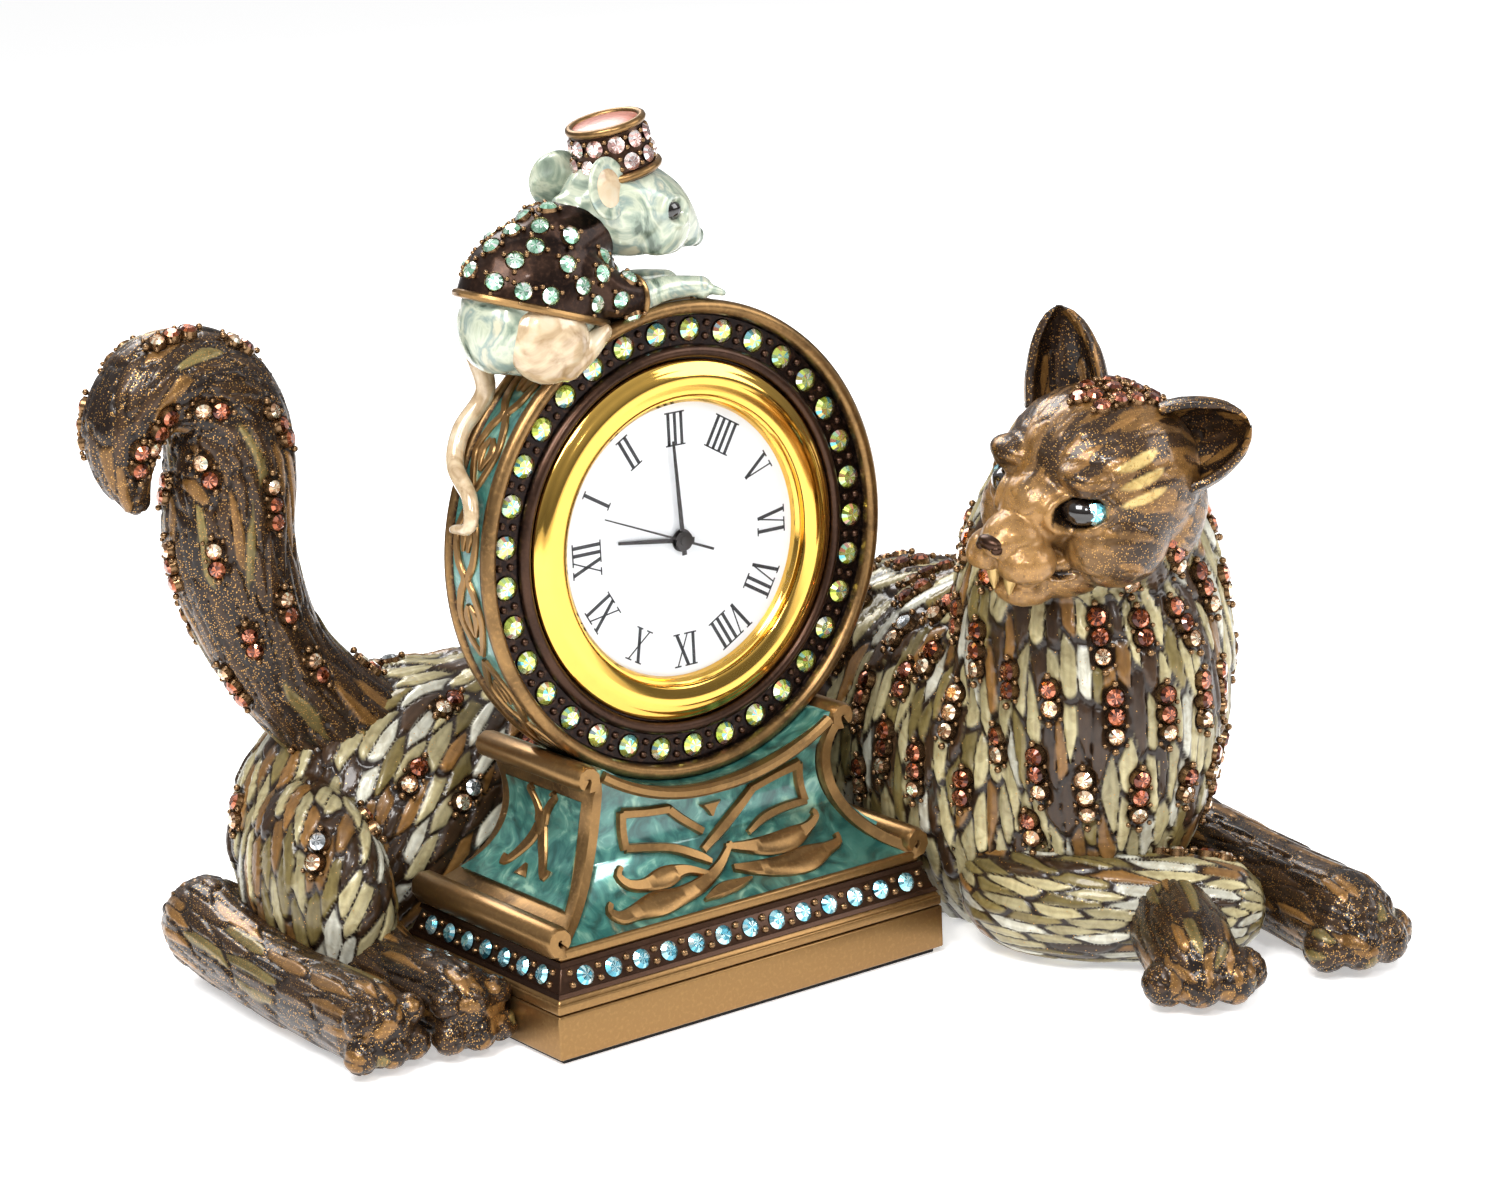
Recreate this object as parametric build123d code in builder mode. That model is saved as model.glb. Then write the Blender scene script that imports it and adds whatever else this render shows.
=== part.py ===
"""Miniature desk clock: a reclining cat curled round a jewelled drum clock, with a mouse on top.

Frame: +X to the right along the clock's face, -Y out of the dial, +Z up.
The origin is the centre of the plinth's underside. Millimetres throughout.
"""

from build123d import *
from math import atan2, cos, degrees, hypot, pi, radians, sin
import os

# ---------------------------------------------------------------- driving dimensions
# plinth and jewelled band
PLINTH_WIDTH = 48.1
PLINTH_DEPTH = 28.3
FELT_THICKNESS = 0.6
FELT_INSET = 0.8
SLAB_TOP = 5.1
GROOVE_HEIGHT = 0.5
GROOVE_DEPTH = 0.9
LIP_TOP = 6.8
LIP_INSET = 0.45
BAND_TOP = 9.8
BAND_INSET = 1.62
BAND_STONE_RADIUS = 1.0
BAND_STONES_FRONT = 13
BAND_STONES_SIDE = 7
BAND_STONE_PITCH = 3.35

# pedestal
PEDESTAL_FOOT_WIDTH = 44.4
PEDESTAL_FOOT_DEPTH = 24.4
PEDESTAL_FOOT_HEIGHT = 1.2
PEDESTAL_NECK_WIDTH = 27.0
PEDESTAL_NECK_DEPTH = 15.2
PEDESTAL_NECK_Z = 23.4
PEDESTAL_TOP_WIDTH = 30.4
PEDESTAL_TOP_DEPTH = 17.6
PEDESTAL_TOP_Z = 26.9
SCREW_RADIUS = 0.9
SCREW_LENGTH = 12.0
SCREW_SPACING = 24.0

# drum
DRUM_Z = 46.84
DRUM_RADIUS = 24.2
DRUM_FRONT = 6.1
DRUM_BACK = 1.75
DRUM_RIM = 1.7
DRUM_RIM_WIDTH = 1.0
DRUM_BAND_SINK = 0.5
CHANNEL_FRONT = 4.74
COLLAR_RADIUS = 20.2
COLLAR_LENGTH = 3.4
INNER_ROLL_RADIUS = 0.7
DRUM_STONES = 33
DRUM_STONE_RADIUS = 1.17
DRUM_STONE_CIRCLE = 21.17

# fit-up clock insert
BORE_RADIUS = 16.9
RUNNING_CLEARANCE = 0.05
GRIP_WALL = 0.6
CASE_WALL = 0.9
CASE_LENGTH = 8.0
CASE_BACK_WALL = 0.6
BEZEL_RADIUS = 18.25
BEZEL_FRONT = 1.31
BEZEL_OPENING = 14.6
LENS_RADIUS = 14.5
LENS_THICKNESS = 0.6
LENS_SETBACK = 0.2
DIAL_OPENING = 13.8
DIAL_RADIUS = 14.8
DIAL_THICKNESS = 0.25
DIAL_FRONT = 4.3
HAND_THICKNESS = 0.14
HOUR_HAND_LENGTH = 7.7
MINUTE_HAND_LENGTH = 10.2
SECOND_HAND_LENGTH = 10.1
SECOND_TAIL_LENGTH = 3.8
HOUR_HAND_TURN = 172.5
MINUTE_HAND_TURN = 93.4
SECOND_HAND_TURN = 158.0

# movement
MOVEMENT_RADIUS = 7.65
PLATE_THICKNESS = 0.8
BRIDGE_THICKNESS = 0.4
SECOND_ARBOR_RADIUS = 0.16
CANNON_RADIUS = 0.42
HOUR_PIPE_RADIUS = 0.72
TOOTH_CLEARANCE = 0.04
WHEEL_THICKNESS = 0.2
BATTERY_RADIUS = 3.4
BATTERY_THICKNESS = 2.1
BATTERY_OFFSET = 3.55
BATTERY_TURN = 48.0
HATCH_RADIUS = 8.9
KNOB_RADIUS = 1.8

# mouse
MOUSE_Y = -2.2
MOUSE_HALF_WIDTH = 5.0
JACKET_THICKNESS = 0.6
HAT_BASE_RADIUS = 4.0
HAT_TOP_RADIUS = 3.3
HAT_HEIGHT = 4.6
HAT_STONE_RADIUS = 0.8
JACKET_STONE_RADIUS = 0.85
MOUSE_TAIL_RADIUS = 0.9

# cat
FLANK_CENTRE_Y = 29.0
FLANK_HALF_WIDTH = 15.2
FLANK_HALF_HEIGHT = 17.0
HAUNCH_JOINT_X = -8.0
CHEST_JOINT_X = 26.0
TAIL_Y = 28.0
TAIL_THICKNESS = 13.4
HIND_FOOT_WIDTH = 8.2
HIND_FOOT_HEIGHT = 9.2
FORELEG_WIDTH = 10.5

# ---------------------------------------------------------------- worked-out places
HALF_WIDTH = PLINTH_WIDTH / 2
HALF_DEPTH = PLINTH_DEPTH / 2
DRUM_AXIS = Axis((0, 0, DRUM_Z), (0, 1, 0))
CASE_RADIUS = BORE_RADIUS - 2 * RUNNING_CLEARANCE - GRIP_WALL
GRIP_RADIUS = BORE_RADIUS - RUNNING_CLEARANCE
MOVEMENT_FRONT = DIAL_FRONT - DIAL_THICKNESS
PLATE_FRONT = MOVEMENT_FRONT - 0.95
PLATE_BACK = PLATE_FRONT - PLATE_THICKNESS
BRIDGE_FRONT = PLATE_BACK - 1.5
BRIDGE_BACK = BRIDGE_FRONT - BRIDGE_THICKNESS
CASE_BACK = CHANNEL_FRONT - CASE_LENGTH
BEZEL_TOP = CHANNEL_FRONT + BEZEL_FRONT
LENS_FRONT = BEZEL_TOP - LENS_SETBACK
LENS_BACK = LENS_FRONT - LENS_THICKNESS

os.makedirs("parts", exist_ok=True)


def save(builder, name):
    """Labels a finished piece and writes it as its own STEP file."""
    builder.part.label = name
    export_step(builder.part, f"parts/{name}.step")


def facing(forward, x=0.0, z=0.0, turn=0.0):
    """A plane parallel to the dial, 'forward' mm in front of the drum's axis origin, local Y up."""
    side = Vector(cos(radians(turn)), 0, sin(radians(turn)))
    return Plane(origin=(x, -forward, DRUM_Z + z), x_dir=side, z_dir=(0, -1, 0))


def ring_profile(points):
    """Turns a closed outline of (radius, forward) points about the drum's axis, in the current part."""
    with BuildSketch(Plane(origin=(0, 0, DRUM_Z), x_dir=(1, 0, 0), z_dir=(0, 0, 1))) as outline:
        with BuildLine():
            Polyline([(radius, -forward) for radius, forward in points], close=True)
        make_face()
    revolve(outline.sketch, axis=DRUM_AXIS)


def disc(radius, front, thickness, x=0.0, z=0.0, mode=Mode.ADD):
    """A disc parallel to the dial, whose front face is at 'front', in the current part."""
    with BuildSketch(facing(front, x, z)) as outline:
        Circle(radius)
    extrude(outline.sketch, amount=-thickness, mode=mode)


def toothed(teeth, tip_radius, front, thickness, x=0.0, z=0.0):
    """A spur wheel parallel to the dial, with plain trapezoid teeth, in the current part."""
    root = tip_radius * (1 - 2.2 / (teeth + 2))
    shape = ((root, 0.0), (root, 0.4), (tip_radius, 0.55), (tip_radius, 0.85))
    corners = []
    for tooth in range(teeth):
        for radius, share in shape:
            angle = 2 * pi * (tooth + share) / teeth
            corners.append((radius * cos(angle), radius * sin(angle)))
    with BuildSketch(facing(front, x, z)) as outline:
        with BuildLine():
            Polyline(corners, close=True)
        make_face()
    extrude(outline.sketch, amount=-thickness)


def cut_stone(radius):
    """A round crystal with a flat table, seated with its girdle at z = 0."""
    with BuildPart() as stone:
        with BuildSketch(Plane.XZ):
            with BuildLine():
                Polyline(
                    (0, -0.45 * radius),
                    (0.7 * radius, -0.45 * radius),
                    (radius, 0),
                    (0.6 * radius, 0.38 * radius),
                    (0, 0.38 * radius),
                    close=True,
                )
            make_face()
        revolve(axis=Axis.Z)
    return stone.part


def pocket(radius):
    """The seat that a crystal drops into, a hair wider than the stone."""
    with BuildPart() as seat:
        Cylinder(radius + 0.05, 0.6 * radius, align=(Align.CENTER, Align.CENTER, Align.MAX))
    return seat.part


def ellipsoid(centre, half_sizes, tilt=0.0):
    """An egg-shaped solid, tilted by 'tilt' degrees about the Y axis."""
    ball = scale(Sphere(1, mode=Mode.PRIVATE), by=half_sizes, mode=Mode.PRIVATE)
    return Location(centre) * Rotation(0, tilt, 0) * ball


def ellipsoid_seats(centre, half_sizes, tilt, angles, lift):
    """Planes that lie on an ellipsoid, one for each (turn, rise) pair of angles in degrees."""
    place = Location(centre) * Location((0, 0, 0), (0, tilt, 0))
    seats = []
    for turn, rise in angles:
        unit = (
            cos(radians(rise)) * cos(radians(turn)),
            cos(radians(rise)) * sin(radians(turn)),
            sin(radians(rise)),
        )
        point = Vector(*[half * part for half, part in zip(half_sizes, unit)])
        normal = Vector(*[part / half for half, part in zip(half_sizes, unit)]).normalized()
        seat = Plane(origin=point + normal * lift, z_dir=normal)
        seats.append(place * seat.location)
    return seats


def limb(stations, across):
    """A solid through ellipses, each (centre, heading, half width, half height) square to its heading."""
    with BuildPart() as body:
        for centre, heading, half_width, half_height in stations:
            with BuildSketch(Plane(origin=centre, x_dir=across(heading), z_dir=heading)):
                Ellipse(half_width, half_height)
        loft()
    return body.part


def level_across(heading):
    """The level direction square to a level heading."""
    return (-heading[1], heading[0], 0)


def depth_across(heading):
    """The direction square to a heading that lies in a plane parallel to the dial."""
    return (0, 1, 0)


def floor_box():
    """What lies below the surface that the clock stands on."""
    return Box(400, 400, 60, align=(Align.CENTER, Align.CENTER, Align.MAX), mode=Mode.PRIVATE)


def clock_block():
    """The space of the plinth and its band, which the cat lies against face to face."""
    return Box(
        PLINTH_WIDTH,
        PLINTH_DEPTH,
        BAND_TOP + 0.3,
        align=(Align.CENTER, Align.CENTER, Align.MIN),
        mode=Mode.PRIVATE,
    )


# ---------------------------------------------------------------- plinth and band
with BuildPart() as base_felt:
    with BuildSketch(Plane.XY):
        Rectangle(PLINTH_WIDTH - 2 * FELT_INSET, PLINTH_DEPTH - 2 * FELT_INSET)
    extrude(amount=FELT_THICKNESS)
save(base_felt, "base_felt")

SCREW_PLACES = [(-SCREW_SPACING / 2, 0), (SCREW_SPACING / 2, 0)]
with BuildPart() as plinth:
    with BuildSketch(Plane.XY.offset(FELT_THICKNESS)):
        Rectangle(PLINTH_WIDTH, PLINTH_DEPTH)
    extrude(amount=SLAB_TOP - FELT_THICKNESS)
    chamfer(plinth.edges().filter_by(Axis.Z), length=0.3)
    with BuildSketch(Plane.XY.offset(SLAB_TOP)):
        Rectangle(PLINTH_WIDTH - 2 * GROOVE_DEPTH, PLINTH_DEPTH - 2 * GROOVE_DEPTH)
    extrude(amount=GROOVE_HEIGHT)
    with BuildSketch(Plane.XY.offset(SLAB_TOP + GROOVE_HEIGHT)):
        Rectangle(PLINTH_WIDTH - 0.2, PLINTH_DEPTH - 0.2)
    with BuildSketch(Plane.XY.offset(LIP_TOP)):
        Rectangle(PLINTH_WIDTH - 2 * LIP_INSET, PLINTH_DEPTH - 2 * LIP_INSET)
    loft()
    with BuildSketch(Plane.XY.offset(FELT_THICKNESS)):
        with Locations(*SCREW_PLACES):
            Circle(SCREW_RADIUS + RUNNING_CLEARANCE)
    extrude(amount=LIP_TOP, mode=Mode.SUBTRACT)
    with BuildSketch(Plane.XY.offset(FELT_THICKNESS)):
        with Locations(*SCREW_PLACES):
            Circle(2 * SCREW_RADIUS + RUNNING_CLEARANCE)
    extrude(amount=SCREW_RADIUS + RUNNING_CLEARANCE, mode=Mode.SUBTRACT)
save(plinth, "plinth")

# the band's faces lean in by this angle, and its stones stand square to them
BAND_LEAN = degrees(atan2(BAND_INSET - LIP_INSET, BAND_TOP - LIP_TOP))
BAND_MID_INSET = (BAND_INSET + LIP_INSET) / 2
BAND_MID_Z = (BAND_TOP + LIP_TOP) / 2


def band_seats(lift):
    """Where the band's stones sit: along the front face and both ends, 'lift' proud of the face."""
    rise = sin(radians(BAND_LEAN))
    level = cos(radians(BAND_LEAN))
    seats = []
    for place in range(BAND_STONES_FRONT):
        x = (place - (BAND_STONES_FRONT - 1) / 2) * BAND_STONE_PITCH
        normal = Vector(0, -level, rise)
        point = Vector(x, -(HALF_DEPTH - BAND_MID_INSET), BAND_MID_Z) + normal * lift
        seats.append(Plane(origin=point, x_dir=(1, 0, 0), z_dir=normal).location)
    for side in (-1, 1):
        for place in range(BAND_STONES_SIDE):
            y = (place - (BAND_STONES_SIDE - 1) / 2) * BAND_STONE_PITCH
            normal = Vector(side * level, 0, rise)
            point = Vector(side * (HALF_WIDTH - BAND_MID_INSET), y, BAND_MID_Z) + normal * lift
            seats.append(Plane(origin=point, x_dir=(0, 1, 0), z_dir=normal).location)
    return seats


with BuildPart() as jewel_band:
    with BuildSketch(Plane.XY.offset(LIP_TOP)):
        Rectangle(PLINTH_WIDTH - 2 * LIP_INSET, PLINTH_DEPTH - 2 * LIP_INSET)
    with BuildSketch(Plane.XY.offset(BAND_TOP)):
        Rectangle(PLINTH_WIDTH - 2 * BAND_INSET, PLINTH_DEPTH - 2 * BAND_INSET)
    loft()
    with Locations(*band_seats(0)):
        add(pocket(BAND_STONE_RADIUS), mode=Mode.SUBTRACT)
    with BuildSketch(Plane.XY.offset(LIP_TOP)):
        with Locations(*SCREW_PLACES):
            Circle(SCREW_RADIUS + RUNNING_CLEARANCE)
    extrude(amount=BAND_TOP - LIP_TOP, mode=Mode.SUBTRACT)
save(jewel_band, "jewel_band")

with BuildPart() as aqua_crystals:
    with Locations(*band_seats(-0.1)):
        add(cut_stone(BAND_STONE_RADIUS))
save(aqua_crystals, "aqua_crystals")

# ---------------------------------------------------------------- pedestal
SCREW_TOP = FELT_THICKNESS + SCREW_LENGTH


def flared_profile(plane, foot, neck, top):
    """The pedestal's outline on a plane: a foot that sweeps in to a neck under a wider top."""
    foot_z = BAND_TOP + PEDESTAL_FOOT_HEIGHT
    bow = 0.16 * hypot(foot - neck, PEDESTAL_NECK_Z - foot_z)
    middle = ((foot + neck) / 2 - bow, (foot_z + PEDESTAL_NECK_Z) / 2 - bow / 2)
    with BuildSketch(plane) as outline:
        with BuildLine():
            Polyline((0, BAND_TOP), (foot, BAND_TOP), (foot, foot_z))
            ThreePointArc((foot, foot_z), middle, (neck, PEDESTAL_NECK_Z))
            Polyline(
                (neck, PEDESTAL_NECK_Z), (top, PEDESTAL_TOP_Z - 1), (top, PEDESTAL_TOP_Z), (0, PEDESTAL_TOP_Z)
            )
            mirror(about=Plane.YZ)
        make_face()
    return outline.sketch


with BuildPart() as pedestal:
    face_outline = flared_profile(
        Plane.XZ, PEDESTAL_FOOT_WIDTH / 2, PEDESTAL_NECK_WIDTH / 2, PEDESTAL_TOP_WIDTH / 2
    )
    extrude(face_outline, amount=PEDESTAL_FOOT_DEPTH / 2, both=True)
    end_outline = flared_profile(
        Plane.YZ, PEDESTAL_FOOT_DEPTH / 2, PEDESTAL_NECK_DEPTH / 2, PEDESTAL_TOP_DEPTH / 2
    )
    extrude(end_outline, amount=PEDESTAL_FOOT_WIDTH / 2, both=True, mode=Mode.INTERSECT)
    disc(DRUM_RADIUS + 0.02, HALF_DEPTH, PLINTH_DEPTH, mode=Mode.SUBTRACT)
    with BuildSketch(Plane.XY.offset(BAND_TOP)):
        with Locations(*SCREW_PLACES):
            Circle(SCREW_RADIUS + RUNNING_CLEARANCE)
    extrude(amount=SCREW_TOP - BAND_TOP + 0.4, mode=Mode.SUBTRACT)
save(pedestal, "pedestal")

with BuildPart() as base_screws:
    with BuildSketch(Plane.XY.offset(FELT_THICKNESS)):
        with Locations(*SCREW_PLACES):
            Circle(2 * SCREW_RADIUS)
    extrude(amount=SCREW_RADIUS)
    with BuildSketch(Plane.XY.offset(FELT_THICKNESS)):
        with Locations(*SCREW_PLACES):
            Circle(SCREW_RADIUS)
    extrude(amount=SCREW_LENGTH)
    with BuildSketch(Plane.XY.offset(FELT_THICKNESS)):
        with Locations(*SCREW_PLACES):
            Rectangle(3 * SCREW_RADIUS, 0.5)
    extrude(amount=0.4, mode=Mode.SUBTRACT)
save(base_screws, "base_screws")

# ---------------------------------------------------------------- drum
CHANNEL_IN = BEZEL_RADIUS + 0.15 + 2 * INNER_ROLL_RADIUS
CHANNEL_OUT = DRUM_RADIUS - DRUM_RIM


def drum_seats(lift):
    """Where the drum's stones sit, evenly round the channel."""
    seats = []
    for stone in range(DRUM_STONES):
        angle = 2 * pi * (stone + 0.5) / DRUM_STONES + pi / 2
        plane = facing(
            CHANNEL_FRONT + lift, DRUM_STONE_CIRCLE * cos(angle), DRUM_STONE_CIRCLE * sin(angle)
        )
        seats.append(plane.location)
    return seats


with BuildPart() as drum_case:
    roll_mid = BEZEL_RADIUS + 0.15 + INNER_ROLL_RADIUS
    ring_profile(
        [
            (BORE_RADIUS, CHANNEL_FRONT),
            (BEZEL_RADIUS + 0.15, CHANNEL_FRONT),
            (roll_mid - 0.4 * INNER_ROLL_RADIUS, CHANNEL_FRONT + 0.8 * INNER_ROLL_RADIUS),
            (roll_mid + 0.4 * INNER_ROLL_RADIUS, CHANNEL_FRONT + 0.8 * INNER_ROLL_RADIUS),
            (CHANNEL_IN, CHANNEL_FRONT),
            (CHANNEL_OUT, CHANNEL_FRONT),
            (CHANNEL_OUT + 0.4, DRUM_FRONT - 0.3),
            (CHANNEL_OUT + 0.8, DRUM_FRONT),
            (DRUM_RADIUS - 0.4, DRUM_FRONT),
            (DRUM_RADIUS, DRUM_FRONT - 0.5),
            (DRUM_RADIUS, DRUM_FRONT - DRUM_RIM_WIDTH),
            (DRUM_RADIUS - DRUM_BAND_SINK, DRUM_FRONT - DRUM_RIM_WIDTH - 0.3),
            (DRUM_RADIUS - DRUM_BAND_SINK, -DRUM_BACK + DRUM_RIM_WIDTH),
            (DRUM_RADIUS, -DRUM_BACK + DRUM_RIM_WIDTH - 0.3),
            (DRUM_RADIUS, -DRUM_BACK + 0.3),
            (DRUM_RADIUS - 0.3, -DRUM_BACK),
            (COLLAR_RADIUS, -DRUM_BACK),
            (COLLAR_RADIUS, -DRUM_BACK - COLLAR_LENGTH + 0.4),
            (COLLAR_RADIUS - 0.4, -DRUM_BACK - COLLAR_LENGTH),
            (BORE_RADIUS, -DRUM_BACK - COLLAR_LENGTH),
        ]
    )
    with Locations(*drum_seats(0)):
        add(pocket(DRUM_STONE_RADIUS), mode=Mode.SUBTRACT)
save(drum_case, "drum_case")

with BuildPart() as drum_crystals:
    with Locations(*drum_seats(0.02)):
        add(cut_stone(DRUM_STONE_RADIUS))
save(drum_crystals, "drum_crystals")

# ---------------------------------------------------------------- fit-up insert
with BuildPart() as grip_ring:
    ring_profile(
        [
            (CASE_RADIUS + RUNNING_CLEARANCE, CHANNEL_FRONT - 0.3),
            (GRIP_RADIUS, CHANNEL_FRONT - 0.3),
            (GRIP_RADIUS, CASE_BACK + 0.6),
            (CASE_RADIUS + RUNNING_CLEARANCE, CASE_BACK + 0.6),
        ]
    )
save(grip_ring, "grip_ring")

INNER_CASE_RADIUS = CASE_RADIUS - CASE_WALL
with BuildPart() as insert_case:
    ring_profile(
        [
            (INNER_CASE_RADIUS, CHANNEL_FRONT),
            (CASE_RADIUS, CHANNEL_FRONT),
            (CASE_RADIUS, CASE_BACK),
            (HATCH_RADIUS + RUNNING_CLEARANCE, CASE_BACK),
            (HATCH_RADIUS + RUNNING_CLEARANCE, CASE_BACK + CASE_BACK_WALL),
            (INNER_CASE_RADIUS, CASE_BACK + CASE_BACK_WALL),
        ]
    )
save(insert_case, "insert_case")

with BuildPart() as bezel:
    ring_profile(
        [
            (INNER_CASE_RADIUS - 0.5, CHANNEL_FRONT),
            (BEZEL_RADIUS, CHANNEL_FRONT),
            (BEZEL_RADIUS, CHANNEL_FRONT + 0.4),
            (BEZEL_RADIUS - 0.6, BEZEL_TOP - 0.25),
            (BEZEL_RADIUS - 1.5, BEZEL_TOP),
            (BEZEL_OPENING + 0.5, BEZEL_TOP - 0.1),
            (BEZEL_OPENING, LENS_FRONT),
            (BEZEL_OPENING, LENS_BACK),
            (INNER_CASE_RADIUS - 0.5, LENS_BACK),
        ]
    )
save(bezel, "bezel")

with BuildPart() as lens:
    disc(LENS_RADIUS, LENS_FRONT, LENS_THICKNESS)
    chamfer(lens.edges().sort_by(Axis.Y)[0], length=0.15)
save(lens, "lens")

with BuildPart() as inner_ring:
    ring_profile(
        [
            (DIAL_OPENING, DIAL_FRONT),
            (INNER_CASE_RADIUS - 0.55, DIAL_FRONT),
            (INNER_CASE_RADIUS - 0.55, LENS_BACK),
            (LENS_RADIUS - 0.4, LENS_BACK),
            (DIAL_OPENING + 0.2, DIAL_FRONT + 0.3),
        ]
    )
save(inner_ring, "inner_ring")

with BuildPart() as dial:
    disc(DIAL_RADIUS, DIAL_FRONT, DIAL_THICKNESS)
    disc(HOUR_PIPE_RADIUS + 0.08, DIAL_FRONT, DIAL_THICKNESS, mode=Mode.SUBTRACT)
save(dial, "dial")

# ---------------------------------------------------------------- movement, all round the centre arbor
# tip radii of each pair fill the distance between their arbors, less the clearance
HOUR_WHEEL_TIP = 2.3
MINUTE_PINION_TIP = 0.65
CANNON_PINION_TIP = 0.7
MINUTE_WHEEL_X = -(HOUR_WHEEL_TIP + MINUTE_PINION_TIP + TOOTH_CLEARANCE)
MINUTE_WHEEL_TIP = -MINUTE_WHEEL_X - CANNON_PINION_TIP - TOOTH_CLEARANCE
THIRD_WHEEL_TIP = 2.2
SECOND_PINION_TIP = 0.45
THIRD_WHEEL_X = THIRD_WHEEL_TIP + SECOND_PINION_TIP + TOOTH_CLEARANCE
THIRD_PINION_TIP = 0.5
CENTRE_WHEEL_TIP = THIRD_WHEEL_X - THIRD_PINION_TIP - TOOTH_CLEARANCE
SECOND_WHEEL_TIP = 2.0
IDLER_PINION_TIP = 0.45
IDLER_Z = -(SECOND_WHEEL_TIP + IDLER_PINION_TIP + TOOTH_CLEARANCE)
IDLER_TIP = 1.6
ROTOR_PINION_TIP = 0.4
ROTOR_Z = IDLER_Z - IDLER_TIP - ROTOR_PINION_TIP - TOOTH_CLEARANCE
ROTOR_RADIUS = 0.75
PIVOT_RADIUS = 0.15
CENTRE_WHEEL_FRONT = PLATE_BACK - 0.1
SECOND_WHEEL_FRONT = CENTRE_WHEEL_FRONT - WHEEL_THICKNESS - 0.4

HOUR_HAND_FRONT = DIAL_FRONT + 0.35
MINUTE_HAND_FRONT = HOUR_HAND_FRONT + 0.22
SECOND_HAND_FRONT = MINUTE_HAND_FRONT + 0.2


def hand(length, tail, width, tip_width, front, bore, pointing):
    """A straight tapering hand with a round hub, pierced for its arbor, in the current part."""
    with BuildSketch(facing(front, turn=pointing)) as outline:
        with BuildLine():
            Polyline(
                (-tail, -width / 2),
                (length, -tip_width / 2),
                (length, tip_width / 2),
                (-tail, width / 2),
                close=True,
            )
        make_face()
        Circle(max(1.6 * bore, 0.75))
        Circle(bore, mode=Mode.SUBTRACT)
    extrude(outline.sketch, amount=-HAND_THICKNESS)


def pipe(outer, inner, front, back):
    """A tube about the centre arbor, in the current part."""
    with BuildSketch(facing(front)) as outline:
        Circle(outer)
        Circle(inner, mode=Mode.SUBTRACT)
    extrude(outline.sketch, amount=-(front - back))


with BuildPart() as hour_hand:
    hand(HOUR_HAND_LENGTH, 1.5, 0.55, 0.3, HOUR_HAND_FRONT, HOUR_PIPE_RADIUS, HOUR_HAND_TURN)
save(hour_hand, "hour_hand")

with BuildPart() as minute_hand:
    hand(MINUTE_HAND_LENGTH, 1.5, 0.5, 0.25, MINUTE_HAND_FRONT, CANNON_RADIUS, MINUTE_HAND_TURN)
save(minute_hand, "minute_hand")

with BuildPart() as second_hand:
    hand(
        SECOND_HAND_LENGTH,
        SECOND_TAIL_LENGTH,
        0.28,
        0.14,
        SECOND_HAND_FRONT,
        SECOND_ARBOR_RADIUS,
        SECOND_HAND_TURN,
    )
save(second_hand, "second_hand")

HOUR_WHEEL_FRONT = MOVEMENT_FRONT - 0.1
with BuildPart() as hour_wheel:
    toothed(32, HOUR_WHEEL_TIP, HOUR_WHEEL_FRONT, WHEEL_THICKNESS)
    disc(CANNON_PINION_TIP, HOUR_WHEEL_FRONT, WHEEL_THICKNESS, mode=Mode.SUBTRACT)
    pipe(
        HOUR_PIPE_RADIUS,
        CANNON_RADIUS + RUNNING_CLEARANCE,
        HOUR_HAND_FRONT,
        HOUR_WHEEL_FRONT - WHEEL_THICKNESS,
    )
save(hour_wheel, "hour_wheel")

CANNON_PINION_FRONT = HOUR_WHEEL_FRONT - WHEEL_THICKNESS - 0.08
with BuildPart() as centre_wheel:
    toothed(64, CENTRE_WHEEL_TIP, CENTRE_WHEEL_FRONT, WHEEL_THICKNESS)
    toothed(10, CANNON_PINION_TIP, CANNON_PINION_FRONT, 0.3)
    disc(CANNON_RADIUS, MINUTE_HAND_FRONT, MINUTE_HAND_FRONT - CENTRE_WHEEL_FRONT)
    disc(
        SECOND_ARBOR_RADIUS + RUNNING_CLEARANCE,
        MINUTE_HAND_FRONT,
        MINUTE_HAND_FRONT - CENTRE_WHEEL_FRONT + WHEEL_THICKNESS,
        mode=Mode.SUBTRACT,
    )
save(centre_wheel, "centre_wheel")

with BuildPart() as second_wheel:
    toothed(60, SECOND_WHEEL_TIP, SECOND_WHEEL_FRONT, WHEEL_THICKNESS)
    toothed(8, SECOND_PINION_TIP, SECOND_WHEEL_FRONT + 0.35, 0.35)
    disc(SECOND_ARBOR_RADIUS, SECOND_HAND_FRONT, SECOND_HAND_FRONT - BRIDGE_FRONT + 0.3)
save(second_wheel, "second_wheel")

with BuildPart() as third_wheel:
    toothed(60, THIRD_WHEEL_TIP, SECOND_WHEEL_FRONT + 0.28, WHEEL_THICKNESS, x=THIRD_WHEEL_X)
    toothed(8, THIRD_PINION_TIP, CENTRE_WHEEL_FRONT, 0.35, x=THIRD_WHEEL_X)
    disc(PIVOT_RADIUS, PLATE_BACK + 0.3, PLATE_BACK - BRIDGE_FRONT + 0.6, x=THIRD_WHEEL_X)
save(third_wheel, "third_wheel")

IDLER_FRONT = SECOND_WHEEL_FRONT - WHEEL_THICKNESS - 0.15
with BuildPart() as step_wheel:
    toothed(50, IDLER_TIP, IDLER_FRONT, WHEEL_THICKNESS, z=IDLER_Z)
    toothed(10, IDLER_PINION_TIP, SECOND_WHEEL_FRONT, 0.4, z=IDLER_Z)
    disc(PIVOT_RADIUS, PLATE_BACK + 0.3, PLATE_BACK - BRIDGE_FRONT + 0.6, z=IDLER_Z)
save(step_wheel, "step_wheel")

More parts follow.
